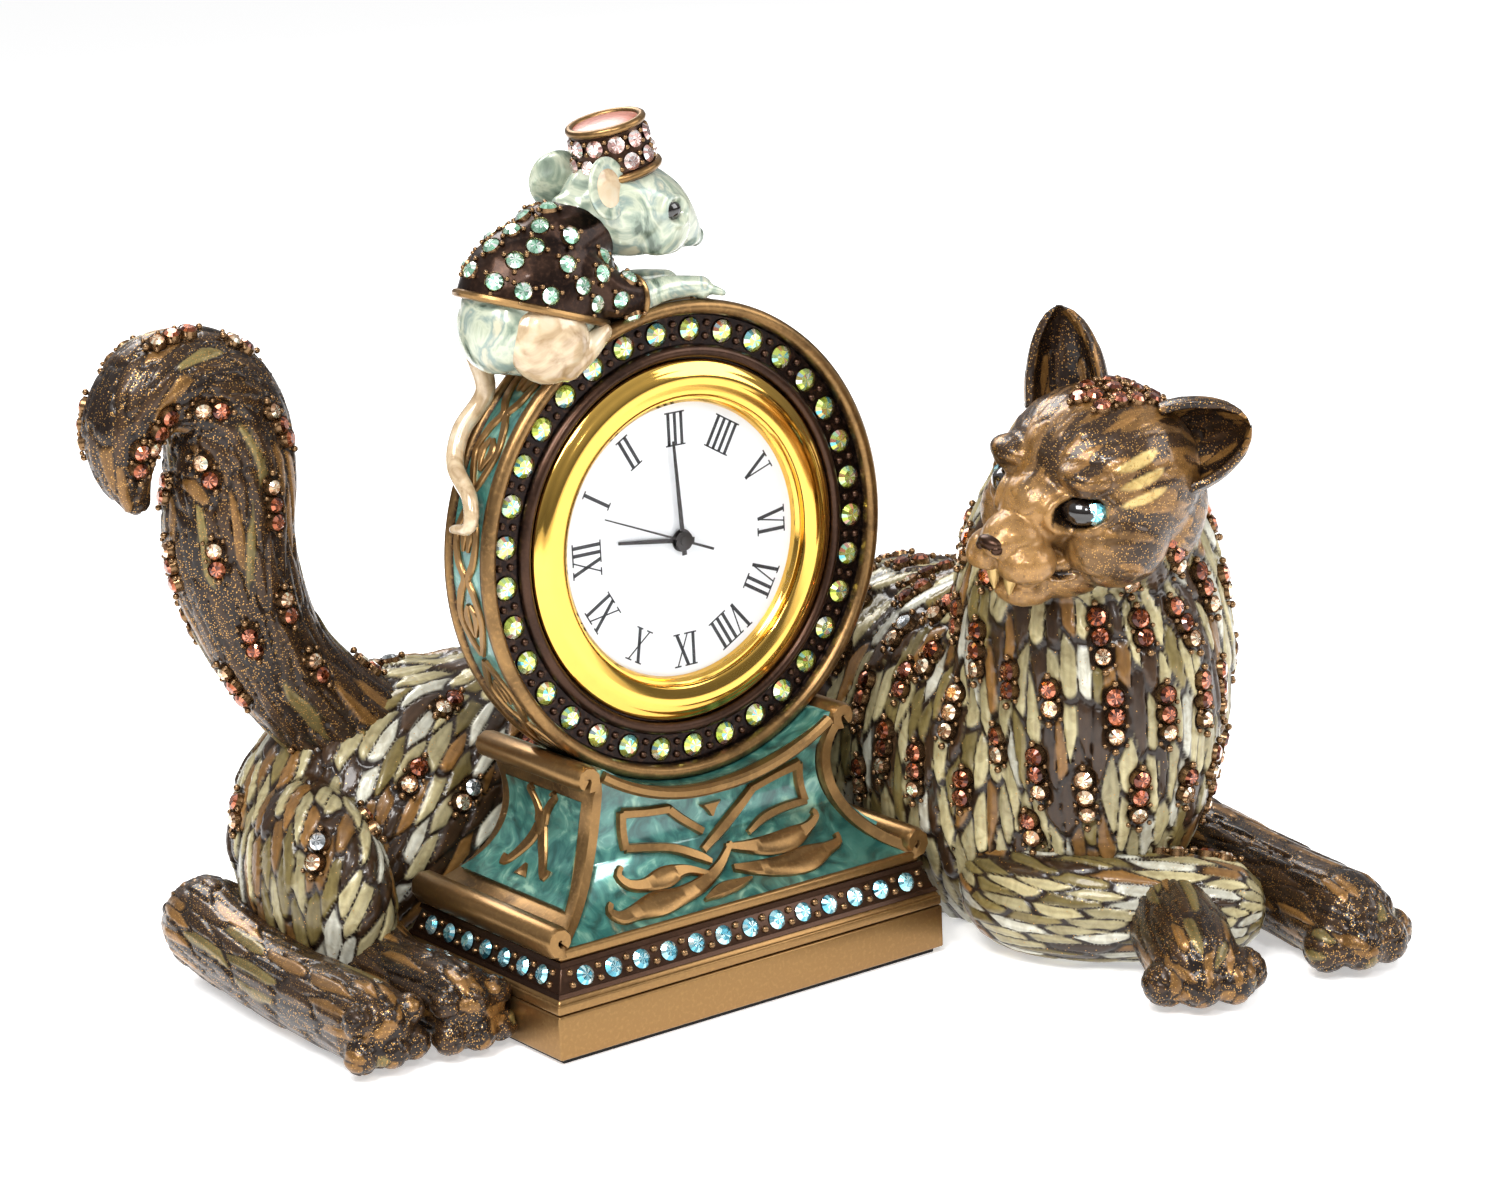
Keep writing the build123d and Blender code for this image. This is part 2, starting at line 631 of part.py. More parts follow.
with BuildPart() as rotor:
    toothed(10, ROTOR_PINION_TIP, IDLER_FRONT, WHEEL_THICKNESS, z=ROTOR_Z)
    disc(ROTOR_RADIUS, PLATE_BACK - 0.1, 0.6, z=ROTOR_Z)
    disc(PIVOT_RADIUS, PLATE_BACK + 0.3, PLATE_BACK - BRIDGE_FRONT + 0.6, z=ROTOR_Z)
save(rotor, "rotor")

KNOB_SHAFT_RADIUS = 0.4
with BuildPart() as minute_wheel:
    toothed(30, MINUTE_WHEEL_TIP, CANNON_PINION_FRONT, WHEEL_THICKNESS, x=MINUTE_WHEEL_X)
    toothed(8, MINUTE_PINION_TIP, HOUR_WHEEL_FRONT, 0.4, x=MINUTE_WHEEL_X)
    disc(KNOB_SHAFT_RADIUS, CANNON_PINION_FRONT, CANNON_PINION_FRONT - CASE_BACK - 0.8, x=MINUTE_WHEEL_X)
save(minute_wheel, "minute_wheel")

with BuildPart() as setting_knob:
    disc(KNOB_RADIUS, CASE_BACK + 0.8, 1.5, x=MINUTE_WHEEL_X)
    with BuildSketch(facing(CASE_BACK + 0.8 - 1.5, x=MINUTE_WHEEL_X)):
        with PolarLocations(KNOB_RADIUS, 16):
            Circle(0.16)
    extrude(amount=0.9, mode=Mode.SUBTRACT)
save(setting_knob, "setting_knob")

PIVOT_HOLE = PIVOT_RADIUS + RUNNING_CLEARANCE
SHAFT_HOLE = KNOB_SHAFT_RADIUS + RUNNING_CLEARANCE
PIVOT_PLACES = [(THIRD_WHEEL_X, 0), (0, IDLER_Z), (0, ROTOR_Z)]
BATTERY_X = BATTERY_OFFSET * cos(radians(BATTERY_TURN))
BATTERY_Z = BATTERY_OFFSET * sin(radians(BATTERY_TURN))
with BuildPart() as main_plate:
    disc(MOVEMENT_RADIUS, PLATE_FRONT, PLATE_THICKNESS)
    disc(CANNON_RADIUS + RUNNING_CLEARANCE, PLATE_FRONT, PLATE_THICKNESS, mode=Mode.SUBTRACT)
    disc(SHAFT_HOLE, PLATE_FRONT, PLATE_THICKNESS, x=MINUTE_WHEEL_X, mode=Mode.SUBTRACT)
    for x, z in PIVOT_PLACES:
        disc(PIVOT_HOLE, PLATE_BACK + 0.4, 0.4, x=x, z=z, mode=Mode.SUBTRACT)
save(main_plate, "main_plate")

with BuildPart() as train_bridge:
    disc(MOVEMENT_RADIUS, BRIDGE_FRONT, BRIDGE_THICKNESS)
    disc(SECOND_ARBOR_RADIUS + RUNNING_CLEARANCE, BRIDGE_FRONT, 0.35, mode=Mode.SUBTRACT)
    disc(SHAFT_HOLE, BRIDGE_FRONT, BRIDGE_THICKNESS, x=MINUTE_WHEEL_X, mode=Mode.SUBTRACT)
    for x, z in PIVOT_PLACES:
        disc(PIVOT_HOLE, BRIDGE_FRONT, 0.35, x=x, z=z, mode=Mode.SUBTRACT)
save(train_bridge, "train_bridge")

with BuildPart() as movement_holder:
    ring_profile(
        [
            (MOVEMENT_RADIUS + 0.05, MOVEMENT_FRONT),
            (DIAL_RADIUS, MOVEMENT_FRONT),
            (DIAL_RADIUS, BRIDGE_BACK - 0.6),
            (MOVEMENT_RADIUS - 0.6, BRIDGE_BACK - 0.6),
            (MOVEMENT_RADIUS - 0.6, BRIDGE_BACK),
            (MOVEMENT_RADIUS + 0.05, BRIDGE_BACK),
        ]
    )
save(movement_holder, "movement_holder")

# the step motor: coil and stator below the rotor, between plate and bridge
COIL_Z = ROTOR_Z - 1.55
with BuildPart() as coil:
    with BuildSketch(Plane(origin=(-2.5, -(PLATE_BACK - 0.75), DRUM_Z + COIL_Z), z_dir=(1, 0, 0))):
        Circle(0.6)
    extrude(amount=5)
save(coil, "coil")

with BuildPart() as stator:
    with BuildSketch(facing(PLATE_BACK)):
        with Locations((-2.3, ROTOR_Z + 0.2), (2.3, ROTOR_Z + 0.2)):
            Rectangle(2.4, 0.9)
    extrude(amount=-0.3)
save(stator, "stator")

# behind the bridge: the circuit board, its quartz crystal can, the cell and its contact spring
BOARD_THICKNESS = 0.3
with BuildPart() as circuit_board:
    with BuildSketch(facing(BRIDGE_BACK)):
        Circle(MOVEMENT_RADIUS - 0.7)
        with Locations((BATTERY_X, BATTERY_Z)):
            Circle(BATTERY_RADIUS + 0.35, mode=Mode.SUBTRACT)
        with Locations((MINUTE_WHEEL_X, 0)):
            Circle(KNOB_SHAFT_RADIUS + 0.2, mode=Mode.SUBTRACT)
        with Locations((0, MOVEMENT_RADIUS - 0.2)):
            Rectangle(3, 2.4, mode=Mode.SUBTRACT)
    extrude(amount=-BOARD_THICKNESS)
save(circuit_board, "circuit_board")

CAN_RADIUS = 0.75
with BuildPart() as quartz_can:
    can_forward = BRIDGE_BACK - BOARD_THICKNESS - CAN_RADIUS
    with BuildSketch(Plane(origin=(-2.0, -can_forward, DRUM_Z - 4.6), z_dir=(1, 0, 0))):
        Circle(CAN_RADIUS)
    extrude(amount=4.5)
save(quartz_can, "quartz_can")

BATTERY_FRONT = BRIDGE_BACK - 0.35
with BuildPart() as battery:
    disc(BATTERY_RADIUS - 0.3, BATTERY_FRONT, BATTERY_THICKNESS, x=BATTERY_X, z=BATTERY_Z)
    disc(BATTERY_RADIUS, BATTERY_FRONT - 0.3, BATTERY_THICKNESS - 0.3, x=BATTERY_X, z=BATTERY_Z)
save(battery, "battery")

with BuildPart() as battery_contact:
    with BuildSketch(facing(BRIDGE_BACK, x=BATTERY_X, z=BATTERY_Z)):
        Rectangle(BATTERY_RADIUS, 0.9)
    extrude(amount=-0.25)
save(battery_contact, "battery_contact")

with BuildPart() as battery_hatch:
    hatch_front = CASE_BACK + CASE_BACK_WALL
    disc(HATCH_RADIUS, hatch_front, CASE_BACK_WALL)
    disc(KNOB_RADIUS + 0.2, hatch_front, CASE_BACK_WALL, x=MINUTE_WHEEL_X, mode=Mode.SUBTRACT)
    with BuildSketch(facing(CASE_BACK, x=4, z=-4, turn=45)):
        Rectangle(4, 0.6)
    extrude(amount=0.3, mode=Mode.SUBTRACT)
save(battery_hatch, "battery_hatch")

# ---------------------------------------------------------------- mouse
DRUM_CYLINDER = Cylinder(DRUM_RADIUS + 0.02, 60, rotation=(90, 0, 0), mode=Mode.PRIVATE).moved(
    Location((0, 0, DRUM_Z))
)
BODY_AT = (-14.2, MOUSE_Y, 72.6)
BODY_HALF = (8.4, MOUSE_HALF_WIDTH, 7.0)
BODY_TILT = -20
HEAD_AT = (-2.6, MOUSE_Y, 80.0)

with BuildPart() as mouse_body:
    add(ellipsoid(BODY_AT, BODY_HALF, BODY_TILT))
    add(ellipsoid((-15.5, MOUSE_Y - 2.6, 69.6), (4.4, 2.9, 4.2)))
    add(ellipsoid((-15.5, MOUSE_Y + 2.6, 69.6), (4.4, 2.9, 4.2)))
    add(DRUM_CYLINDER, mode=Mode.SUBTRACT)
save(mouse_body, "mouse_body")

JACKET_HALF = tuple(half + JACKET_THICKNESS for half in BODY_HALF)
with BuildPart() as mouse_jacket:
    add(ellipsoid(BODY_AT, JACKET_HALF, BODY_TILT))
    add(mouse_body.part, mode=Mode.SUBTRACT)
    add(DRUM_CYLINDER, mode=Mode.SUBTRACT)
    waist = Plane(origin=(-15.0, 0, 73.0), z_dir=(0.35, 0, 0.94))
    split(bisect_by=waist, keep=Keep.TOP)
save(mouse_jacket, "mouse_jacket")

with BuildPart() as mouse_head:
    add(
        limb(
            [
                ((x, MOUSE_Y, z), (1, 0, -0.36), half_width, half_height)
                for x, z, half_width, half_height in (
                    (-9.2, 81.4, 2.0, 2.2),
                    (-6.6, 81.0, 4.2, 4.6),
                    (-2.8, 80.2, 4.7, 5.2),
                    (0.8, 79.0, 3.9, 4.3),
                    (3.6, 77.5, 2.2, 2.6),
                    (5.1, 76.6, 0.9, 1.2),
                )
            ],
            depth_across,
        )
    )
    add(ellipsoid(BODY_AT, JACKET_HALF, BODY_TILT), mode=Mode.SUBTRACT)
save(mouse_head, "mouse_head")

EAR_SPREAD = 4.4
EAR_RADIUS = 2.9
EAR_THICKNESS = 1.3
EAR_FLARE = 18
with BuildPart() as mouse_ears:
    for side in (-1, 1):
        lobe = Cylinder(EAR_RADIUS, EAR_THICKNESS, rotation=(90, 0, 0), mode=Mode.PRIVATE)
        add(Location((-8.6, MOUSE_Y + side * EAR_SPREAD, 82.9), (0, 0, side * EAR_FLARE)) * lobe)
    add(mouse_head.part, mode=Mode.SUBTRACT)
save(mouse_ears, "mouse_ears")

with BuildPart() as mouse_eyes:
    for side in (-1, 1):
        add(Location((0.2, MOUSE_Y + side * 3.4, 79.9)) * Sphere(1.2, mode=Mode.PRIVATE))
    add(mouse_head.part, mode=Mode.SUBTRACT)
save(mouse_eyes, "mouse_eyes")

with BuildPart() as mouse_arms:
    for side in (-1, 1):
        y = MOUSE_Y + 2.9 * side
        add(
            limb(
                [
                    ((-7.4, y, 72.6), (1, 0, -0.2), 1.5, 1.5),
                    ((-4.6, y, 71.6), (1, 0, 0), 1.4, 1.3),
                    ((0.5, y, 71.9), (1, 0, 0), 1.1, 1.0),
                    ((3.2, y, 71.8), (1, 0, 0), 1.3, 0.8),
                    ((4.9, y, 71.5), (1, 0, 0), 0.8, 0.5),
                ],
                depth_across,
            )
        )
    add(mouse_body.part, mode=Mode.SUBTRACT)
    add(mouse_jacket.part, mode=Mode.SUBTRACT)
    add(DRUM_CYLINDER, mode=Mode.SUBTRACT)
save(mouse_arms, "mouse_arms")

# the mouse's tail hangs down the drum's left side and hooks forwards; each angle is round the drum
TAIL_ROUTE = ((137, 1.2), (147, 1.6), (155, 0.4), (161, -3.4), (167, -4.2), (168, -1.6))
TAIL_LINE_RADIUS = DRUM_RADIUS + MOUSE_TAIL_RADIUS + 0.05
with BuildPart() as mouse_tail:
    corners = [
        (TAIL_LINE_RADIUS * cos(radians(angle)), y, DRUM_Z + TAIL_LINE_RADIUS * sin(radians(angle)))
        for angle, y in TAIL_ROUTE
    ]
    with BuildLine() as tail_line:
        FilletPolyline(*corners, radius=1.1)
    with BuildSketch(Plane(origin=tail_line.line @ 0, z_dir=tail_line.line % 0)):
        Circle(MOUSE_TAIL_RADIUS)
    sweep(path=tail_line.line)
    add(mouse_body.part, mode=Mode.SUBTRACT)
    add(DRUM_CYLINDER, mode=Mode.SUBTRACT)
save(mouse_tail, "mouse_tail")

HAT_PLANE = Plane(origin=(-3.9, MOUSE_Y, 84.2), x_dir=(1, 0, 0.22), z_dir=(-0.22, 0, 1))
with BuildPart() as mouse_hat:
    with BuildSketch(HAT_PLANE.offset(-1.0)):
        Circle(HAT_BASE_RADIUS)
    with BuildSketch(HAT_PLANE.offset(HAT_HEIGHT)):
        Circle(HAT_TOP_RADIUS)
    loft()
    add(mouse_head.part, mode=Mode.SUBTRACT)
    add(mouse_ears.part, mode=Mode.SUBTRACT)
    with BuildSketch(HAT_PLANE.offset(HAT_HEIGHT)):
        Circle(HAT_TOP_RADIUS - 0.35)
    extrude(amount=-0.3, mode=Mode.SUBTRACT)
save(mouse_hat, "mouse_hat")

with BuildPart() as hat_top:
    with BuildSketch(HAT_PLANE.offset(HAT_HEIGHT)):
        Circle(HAT_TOP_RADIUS - 0.37)
    extrude(amount=-0.28)
save(hat_top, "hat_top")

HAT_STONES = 10
HAT_LEAN = atan2(HAT_BASE_RADIUS - HAT_TOP_RADIUS, HAT_HEIGHT + 1.0)
with BuildPart() as hat_crystals:
    seats = []
    for row, height in enumerate((1.5, 3.3)):
        radius = HAT_BASE_RADIUS - (height + 1.0) * sin(HAT_LEAN) + 0.45 * HAT_STONE_RADIUS + 0.03
        for stone in range(HAT_STONES):
            angle = 2 * pi * (stone + row / 2) / HAT_STONES
            out = Vector(cos(angle), sin(angle), 0)
            spot = HAT_PLANE.from_local_coords(out * radius + Vector(0, 0, height))
            normal = HAT_PLANE.from_local_coords(out + Vector(0, 0, 0.14)) - HAT_PLANE.origin
            seats.append(Plane(origin=spot, z_dir=normal).location)
    with Locations(*seats):
        add(cut_stone(HAT_STONE_RADIUS))
save(hat_crystals, "hat_crystals")

JACKET_ANGLES = [
    (turn + 14 * (row % 2), rise)
    for row, rise in enumerate((18, 36, 54, 72))
    for turn in range(20, 341, (28, 32, 42, 70)[row])
    if abs(turn - 180) > 4 or rise > 20
]
with BuildPart() as jacket_crystals:
    stone_lift = 0.45 * JACKET_STONE_RADIUS + 0.04
    keep_clear = []
    for seat in ellipsoid_seats(BODY_AT, JACKET_HALF, BODY_TILT, JACKET_ANGLES, stone_lift):
        point = seat.position
        above_waist = 0.35 * (point.X + 15.0) + 0.94 * (point.Z - 73.0)
        to_head = hypot(point.X - HEAD_AT[0], point.Z - HEAD_AT[2])
        if above_waist > 1.0 and to_head > 8.2 and hypot(point.X, point.Z - DRUM_Z) > DRUM_RADIUS + 2:
            keep_clear.append(seat)
    with Locations(*keep_clear):
        add(cut_stone(JACKET_STONE_RADIUS))
save(jacket_crystals, "jacket_crystals")

# ---------------------------------------------------------------- cat
HAUNCH_AT = (-13.0, FLANK_CENTRE_Y, 13.5)
SHOULDER_AT = (30.5, 26.0, 16.5)
CHEST_AT = (40.5, -6.0, 17.0)
MANE_AT = (42.0, -18.0, 30.0)
HEAD_TURN = 188.5
HEAD_ROLL = 11.0
SKULL = Location((36.0, -26.6, 50.8), (HEAD_ROLL, 0, HEAD_TURN))
FACE = Location((28.0, -27.3, 47.0), (HEAD_ROLL, 0, HEAD_TURN))
TAIL_SEAT = Plane(origin=(-23.5, TAIL_Y, 26.5), z_dir=(-0.6, 0, 0.8))
TAIL_ROOT = 0.85
TAIL_SEAT_EDGE = 2.4
NECK_CUT = Plane(origin=(34.0, -24.0, 42.5), z_dir=(-0.5, -0.25, 0.83))

with BuildPart() as cat_haunch:
    add(ellipsoid(HAUNCH_AT, (21.0, FLANK_HALF_WIDTH, FLANK_HALF_HEIGHT)))
    add(ellipsoid((-29.6, 21.5, 10.5), (5.6, 12.0, 12.0)))
    split(bisect_by=Plane(origin=(HAUNCH_JOINT_X, 0, 0), z_dir=(-1, 0, 0)), keep=Keep.TOP)
    with BuildSketch(TAIL_SEAT):
        Circle(TAIL_ROOT * TAIL_THICKNESS / 2 + TAIL_SEAT_EDGE)
    extrude(amount=TAIL_THICKNESS, mode=Mode.SUBTRACT)
    add(floor_box(), mode=Mode.SUBTRACT)
    add(clock_block(), mode=Mode.SUBTRACT)
save(cat_haunch, "cat_haunch")

with BuildPart() as cat_flank:
    for x, lift, grow in ((HAUNCH_JOINT_X, -1.9, 0.975), (9.0, 0.0, 1.0), (CHEST_JOINT_X, 1.0, 1.03)):
        with BuildSketch(Plane(origin=(x, FLANK_CENTRE_Y, 15.5 + lift), x_dir=(0, 1, 0), z_dir=(1, 0, 0))):
            Ellipse(FLANK_HALF_WIDTH * grow, FLANK_HALF_HEIGHT * grow)
    loft()
    add(floor_box(), mode=Mode.SUBTRACT)
    add(clock_block(), mode=Mode.SUBTRACT)
    split(bisect_by=Plane(origin=(0, HALF_DEPTH, 0), z_dir=(0, 1, 0)), keep=Keep.TOP)
save(cat_flank, "cat_flank")

with BuildPart() as cat_chest:
    add(ellipsoid(SHOULDER_AT, (19.5, 18.5, 18.5)))
    add(ellipsoid(CHEST_AT, (16.5, 25.0, 20.5)))
    add(ellipsoid(MANE_AT, (16.0, 14.5, 26.0)))
    split(bisect_by=Plane(origin=(HALF_WIDTH, 0, 0), z_dir=(1, 0, 0)), keep=Keep.TOP)
    hidden = Box(2 * CHEST_JOINT_X, 90, 120, align=(Align.CENTER, Align.MIN, Align.MIN), mode=Mode.PRIVATE)
    add(hidden.moved(Location((0, HALF_DEPTH, 0))), mode=Mode.SUBTRACT)
    add(floor_box(), mode=Mode.SUBTRACT)
    split(bisect_by=NECK_CUT, keep=Keep.BOTTOM)
save(cat_chest, "cat_chest")

with BuildPart() as cat_head:
    add(SKULL * ellipsoid((0, 0, 0), (10.5, 11.0, 10.0)))
    add(FACE * ellipsoid((0, 0, 0), (8.3, 7.2, 7.2)))
    split(bisect_by=NECK_CUT, keep=Keep.TOP)
save(cat_head, "cat_head")

EAR_ROOT = 5.2
EAR_TIP = 1.0
EARS = (((39.6, -33.0, 54.2), (41.6, -38.4, 60.0)), ((37.6, -20.6, 57.8), (37.7, -16.0, 64.8)))
with BuildPart() as cat_ears:
    for root, tip in EARS:
        lean = Vector(*tip) - Vector(*root)
        with BuildSketch(Plane(origin=root, x_dir=(1, 0, -lean.X / lean.Z), z_dir=lean)):
            Ellipse(EAR_ROOT, EAR_ROOT * 0.55)
        with BuildSketch(Plane(origin=tip, x_dir=(1, 0, -lean.X / lean.Z), z_dir=lean)):
            Ellipse(EAR_TIP, EAR_TIP * 0.7)
        loft()
    add(cat_head.part, mode=Mode.SUBTRACT)
save(cat_ears, "cat_ears")

with BuildPart() as cat_eyes:
    for spot in ((28.6, -33.6, 49.2), (26.3, -21.6, 51.2)):
        add(Location(spot) * Sphere(1.5, mode=Mode.PRIVATE))
    add(cat_head.part, mode=Mode.SUBTRACT)
save(cat_eyes, "cat_eyes")

# tail: it rises from its seat in the haunch and hooks over to the left
HALF_TAIL = TAIL_THICKNESS / 2
TAIL_STATIONS = (
    ((-23.5, 26.5), (-0.6, 0.8), TAIL_ROOT),
    ((-27.4, 32.1), (-0.55, 0.84), TAIL_ROOT),
    ((-31.6, 40.0), (-0.3, 0.95), 0.9),
    ((-33.3, 48.0), (-0.05, 1.0), 1.0),
    ((-32.6, 55.0), (0.05, 1.0), 1.0),
    ((-33.4, 61.0), (-0.4, 0.92), 0.95),
    ((-38.4, 65.0), (-1.0, 0.0), 0.85),
    ((-43.6, 61.6), (-0.35, -0.94), 0.7),
    ((-43.8, 56.6), (0.1, -1.0), 0.5),
    ((-43.0, 53.6), (0.25, -0.97), 0.25),
)
with BuildPart() as cat_tail:
    add(
        limb(
            [
                ((x, TAIL_Y, z), (dx, 0, dz), HALF_TAIL * size, HALF_TAIL * size)
                for (x, z), (dx, dz), size in TAIL_STATIONS
            ],
            depth_across,
        )
    )
save(cat_tail, "cat_tail")


PAW_STATIONS = (
    (0.0, 0.5, 0.9),
    (0.06, 0.85, 0.95),
    (0.5, 0.92, 0.88),
    (0.82, 1.0, 1.0),
    (0.96, 0.9, 0.9),
    (1.0, 0.6, 0.7),
)


def paw(start, ends, half_width, half_height):
    """A level foot from its heel to its toes, along a straight line, rounded at both ends."""
    (x0, y0), (x1, y1) = start, ends
    length = hypot(x1 - x0, y1 - y0)
    heading = ((x1 - x0) / length, (y1 - y0) / length, 0)
    stations = []
    for share, size, rise in PAW_STATIONS:
        centre = (x0 + share * (x1 - x0), y0 + share * (y1 - y0), half_height * rise)
        stations.append((centre, heading, half_width * size, half_height * size))
    return limb(stations, level_across)


HALF_FOOT = HIND_FOOT_WIDTH / 2
INNER_FOOT_X = -(HALF_WIDTH + HALF_FOOT + 0.3)
OUTER_FOOT_X = INNER_FOOT_X - HIND_FOOT_WIDTH - 1.0
with BuildPart() as cat_hind_feet:
    add(paw((OUTER_FOOT_X, 34.0), (OUTER_FOOT_X, -6.0), HALF_FOOT, HIND_FOOT_HEIGHT / 2))
    add(paw((INNER_FOOT_X, 20.0), (INNER_FOOT_X, -8.0), HALF_FOOT, HIND_FOOT_HEIGHT / 2))
    add(cat_haunch.part, mode=Mode.SUBTRACT)
    add(floor_box(), mode=Mode.SUBTRACT)
save(cat_hind_feet, "cat_hind_feet")

HALF_FORELEG = FORELEG_WIDTH / 2
with BuildPart() as cat_far_foreleg:
    add(paw((56.0, -16.0), (51.0, -50.5), HALF_FORELEG, 5.2))
    add(cat_chest.part, mode=Mode.SUBTRACT)
    add(floor_box(), mode=Mode.SUBTRACT)
save(cat_far_foreleg, "cat_far_foreleg")

with BuildPart() as cat_near_foreleg:
    add(paw((29.5, -17.0), (44.0, -36.5), HALF_FORELEG, 6.0))
    add(paw((38.0, -33.0), (31.0, -45.5), 0.95 * HALF_FORELEG, 4.6))
    add(cat_chest.part, mode=Mode.SUBTRACT)
    add(cat_far_foreleg.part, mode=Mode.SUBTRACT)
    add(clock_block(), mode=Mode.SUBTRACT)
    add(floor_box(), mode=Mode.SUBTRACT)
save(cat_near_foreleg, "cat_near_foreleg")
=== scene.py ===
"""Miniature cat and mouse desk clock: enamel, antiqued bronze and set crystals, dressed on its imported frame.

Shapes are worked in millimetres, +X right along the dial, -Y out of the dial, +Z up, and become metres when
a piece is finished. "forward" is a distance out of the dial.
"""

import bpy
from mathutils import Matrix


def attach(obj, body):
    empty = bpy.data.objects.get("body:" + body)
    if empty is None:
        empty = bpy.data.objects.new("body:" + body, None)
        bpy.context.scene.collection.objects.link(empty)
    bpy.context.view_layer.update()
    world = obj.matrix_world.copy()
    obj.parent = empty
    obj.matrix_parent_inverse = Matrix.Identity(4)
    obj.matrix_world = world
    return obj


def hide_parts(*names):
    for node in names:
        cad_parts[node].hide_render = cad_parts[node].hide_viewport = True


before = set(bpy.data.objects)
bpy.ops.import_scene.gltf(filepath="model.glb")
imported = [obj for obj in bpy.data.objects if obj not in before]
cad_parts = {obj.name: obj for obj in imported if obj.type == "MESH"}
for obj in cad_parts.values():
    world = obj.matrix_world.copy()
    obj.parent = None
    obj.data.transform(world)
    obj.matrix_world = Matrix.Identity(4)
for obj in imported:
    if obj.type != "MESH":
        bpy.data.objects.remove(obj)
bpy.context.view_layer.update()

import logging
import math
from dataclasses import dataclass, field
from enum import Enum

import bmesh
import bpy
import numpy as np
from mathutils import Matrix, Vector
from mathutils.kdtree import KDTree

LOG = logging.getLogger("cat_clock")
MM = 0.001
DRUM_Z = 46.84
SEED = 79
SKIN_ANGLE = 75.0
SPOT_TRIES = 6000
ROUND_STEPS = 192
MIX_FIRST, MIX_SECOND, MIX_COLOUR = 6, 7, 2
Row = tuple[float, ...]


# ---------------------------------------------------------------- shader helpers
class Recipe:
    """A material and short ways of adding nodes to it."""

    def __init__(self, name: str) -> None:
        """Starts a material.

        Args:
            name: The material's name.
        """
        self.material = bpy.data.materials.new(name)
        self.material.use_nodes = True
        self.tree = self.material.node_tree
        self.shader = self.tree.nodes["Principled BSDF"]

    def node(self, kind: str, **settings: object) -> bpy.types.Node:
        """Adds a node.

        Args:
            kind: The node's type, without its ShaderNode prefix.
            settings: Properties to set on it.

        Returns:
            The new node.
        """
        made = self.tree.nodes.new(f"ShaderNode{kind}")
        for key, value in settings.items():
            setattr(made, key, value)
        return made

    def join(self, start: object, end: object) -> None:
        """Links an output socket to an input socket."""
        self.tree.links.new(start, end)

    def base(self, **values: object) -> None:
        """Sets sockets of the shader, named with underscores for spaces."""
        for key, value in values.items():
            self.shader.inputs[key.replace("_", " ")].default_value = value

    def noise(self, scale: float, detail: float = 3.0, warp: float = 0.0) -> bpy.types.Node:
        """A noise texture on Object coordinates.

        Args:
            scale: Features per metre.
            detail: Octaves.
            warp: Distortion.

        Returns:
            The noise node.
        """
        where = self.node("TexCoord")
        made = self.node("TexNoise")
        made.inputs["Scale"].default_value = scale
        made.inputs["Detail"].default_value = detail
        made.inputs["Distortion"].default_value = warp
        self.join(where.outputs["Object"], made.inputs["Vector"])
        return made

    def ramp(self, source: object, stops: list[tuple[float, Row]]) -> object:
        """A colour ramp.

        Args:
            source: The socket that drives it.
            stops: (place, colour) pairs.

        Returns:
            The ramp's colour socket.
        """
        made = self.node("ValToRGB")
        points = made.color_ramp.elements
        while len(points) < len(stops):
            points.new(0.5)
        for point, (place, colour) in zip(points, stops):
            point.position = place
            point.color = (*colour[:3], 1.0)
        self.join(source, made.inputs["Fac"])
        return made.outputs["Color"]

    def mix(self, share: object, first: object, second: object) -> object:
        """Mixes two colours.

        Args:
            share: A socket or a number.
            first: A socket or a colour, shown where share is 0.
            second: A socket or a colour, shown where share is 1.

        Returns:
            The mixed colour's socket.
        """
        made = self.node("Mix", data_type="RGBA")
        for place, value in ((0, share), (MIX_FIRST, first), (MIX_SECOND, second)):
            socket = made.inputs[place]
            if isinstance(value, bpy.types.NodeSocket):
                self.join(value, socket)
            elif isinstance(value, (int, float)):
                socket.default_value = value
            else:
                socket.default_value = (*value[:3], 1.0)
        return made.outputs[MIX_COLOUR]

    def bump(self, source: object, strength: float, depth: float) -> None:
        """Gives the surface a fine relief.

        Args:
            source: The height socket.
            strength: The bump's strength.
            depth: The height of the relief in millimetres.
        """
        made = self.node("Bump")
        made.inputs["Strength"].default_value = strength
        made.inputs["Distance"].default_value = depth * MM
        self.join(source, made.inputs["Height"])
        self.join(made.outputs["Normal"], self.shader.inputs["Normal"])


@dataclass(frozen=True)
class Finish:
    """A plain finish: one colour with a slight variation."""

    name: str
    colour: Row
    metallic: float = 0.0
    roughness: float = 0.5
    coat: float = 0.0
    variation: float = 0.12

    def material(self) -> bpy.types.Material:
        """The finish's material, made once."""
        known = bpy.data.materials.get(f"{self.name}_finish")
        return known or self.make()

    def make(self) -> bpy.types.Material:
        """Builds the material."""
        recipe = Recipe(f"{self.name}_finish")
        recipe.base(
            Metallic=self.metallic, Roughness=self.roughness, Coat_Weight=self.coat, Coat_Roughness=0.06
        )
        grain = recipe.noise(900.0)
        dark = tuple(part * (1 - self.variation) for part in self.colour)
        recipe.join(
            recipe.ramp(grain.outputs["Fac"], [(0.35, dark), (0.65, self.colour)]), recipe.shader.inputs[
                "Base Color"
            ]
        )
        return recipe.material


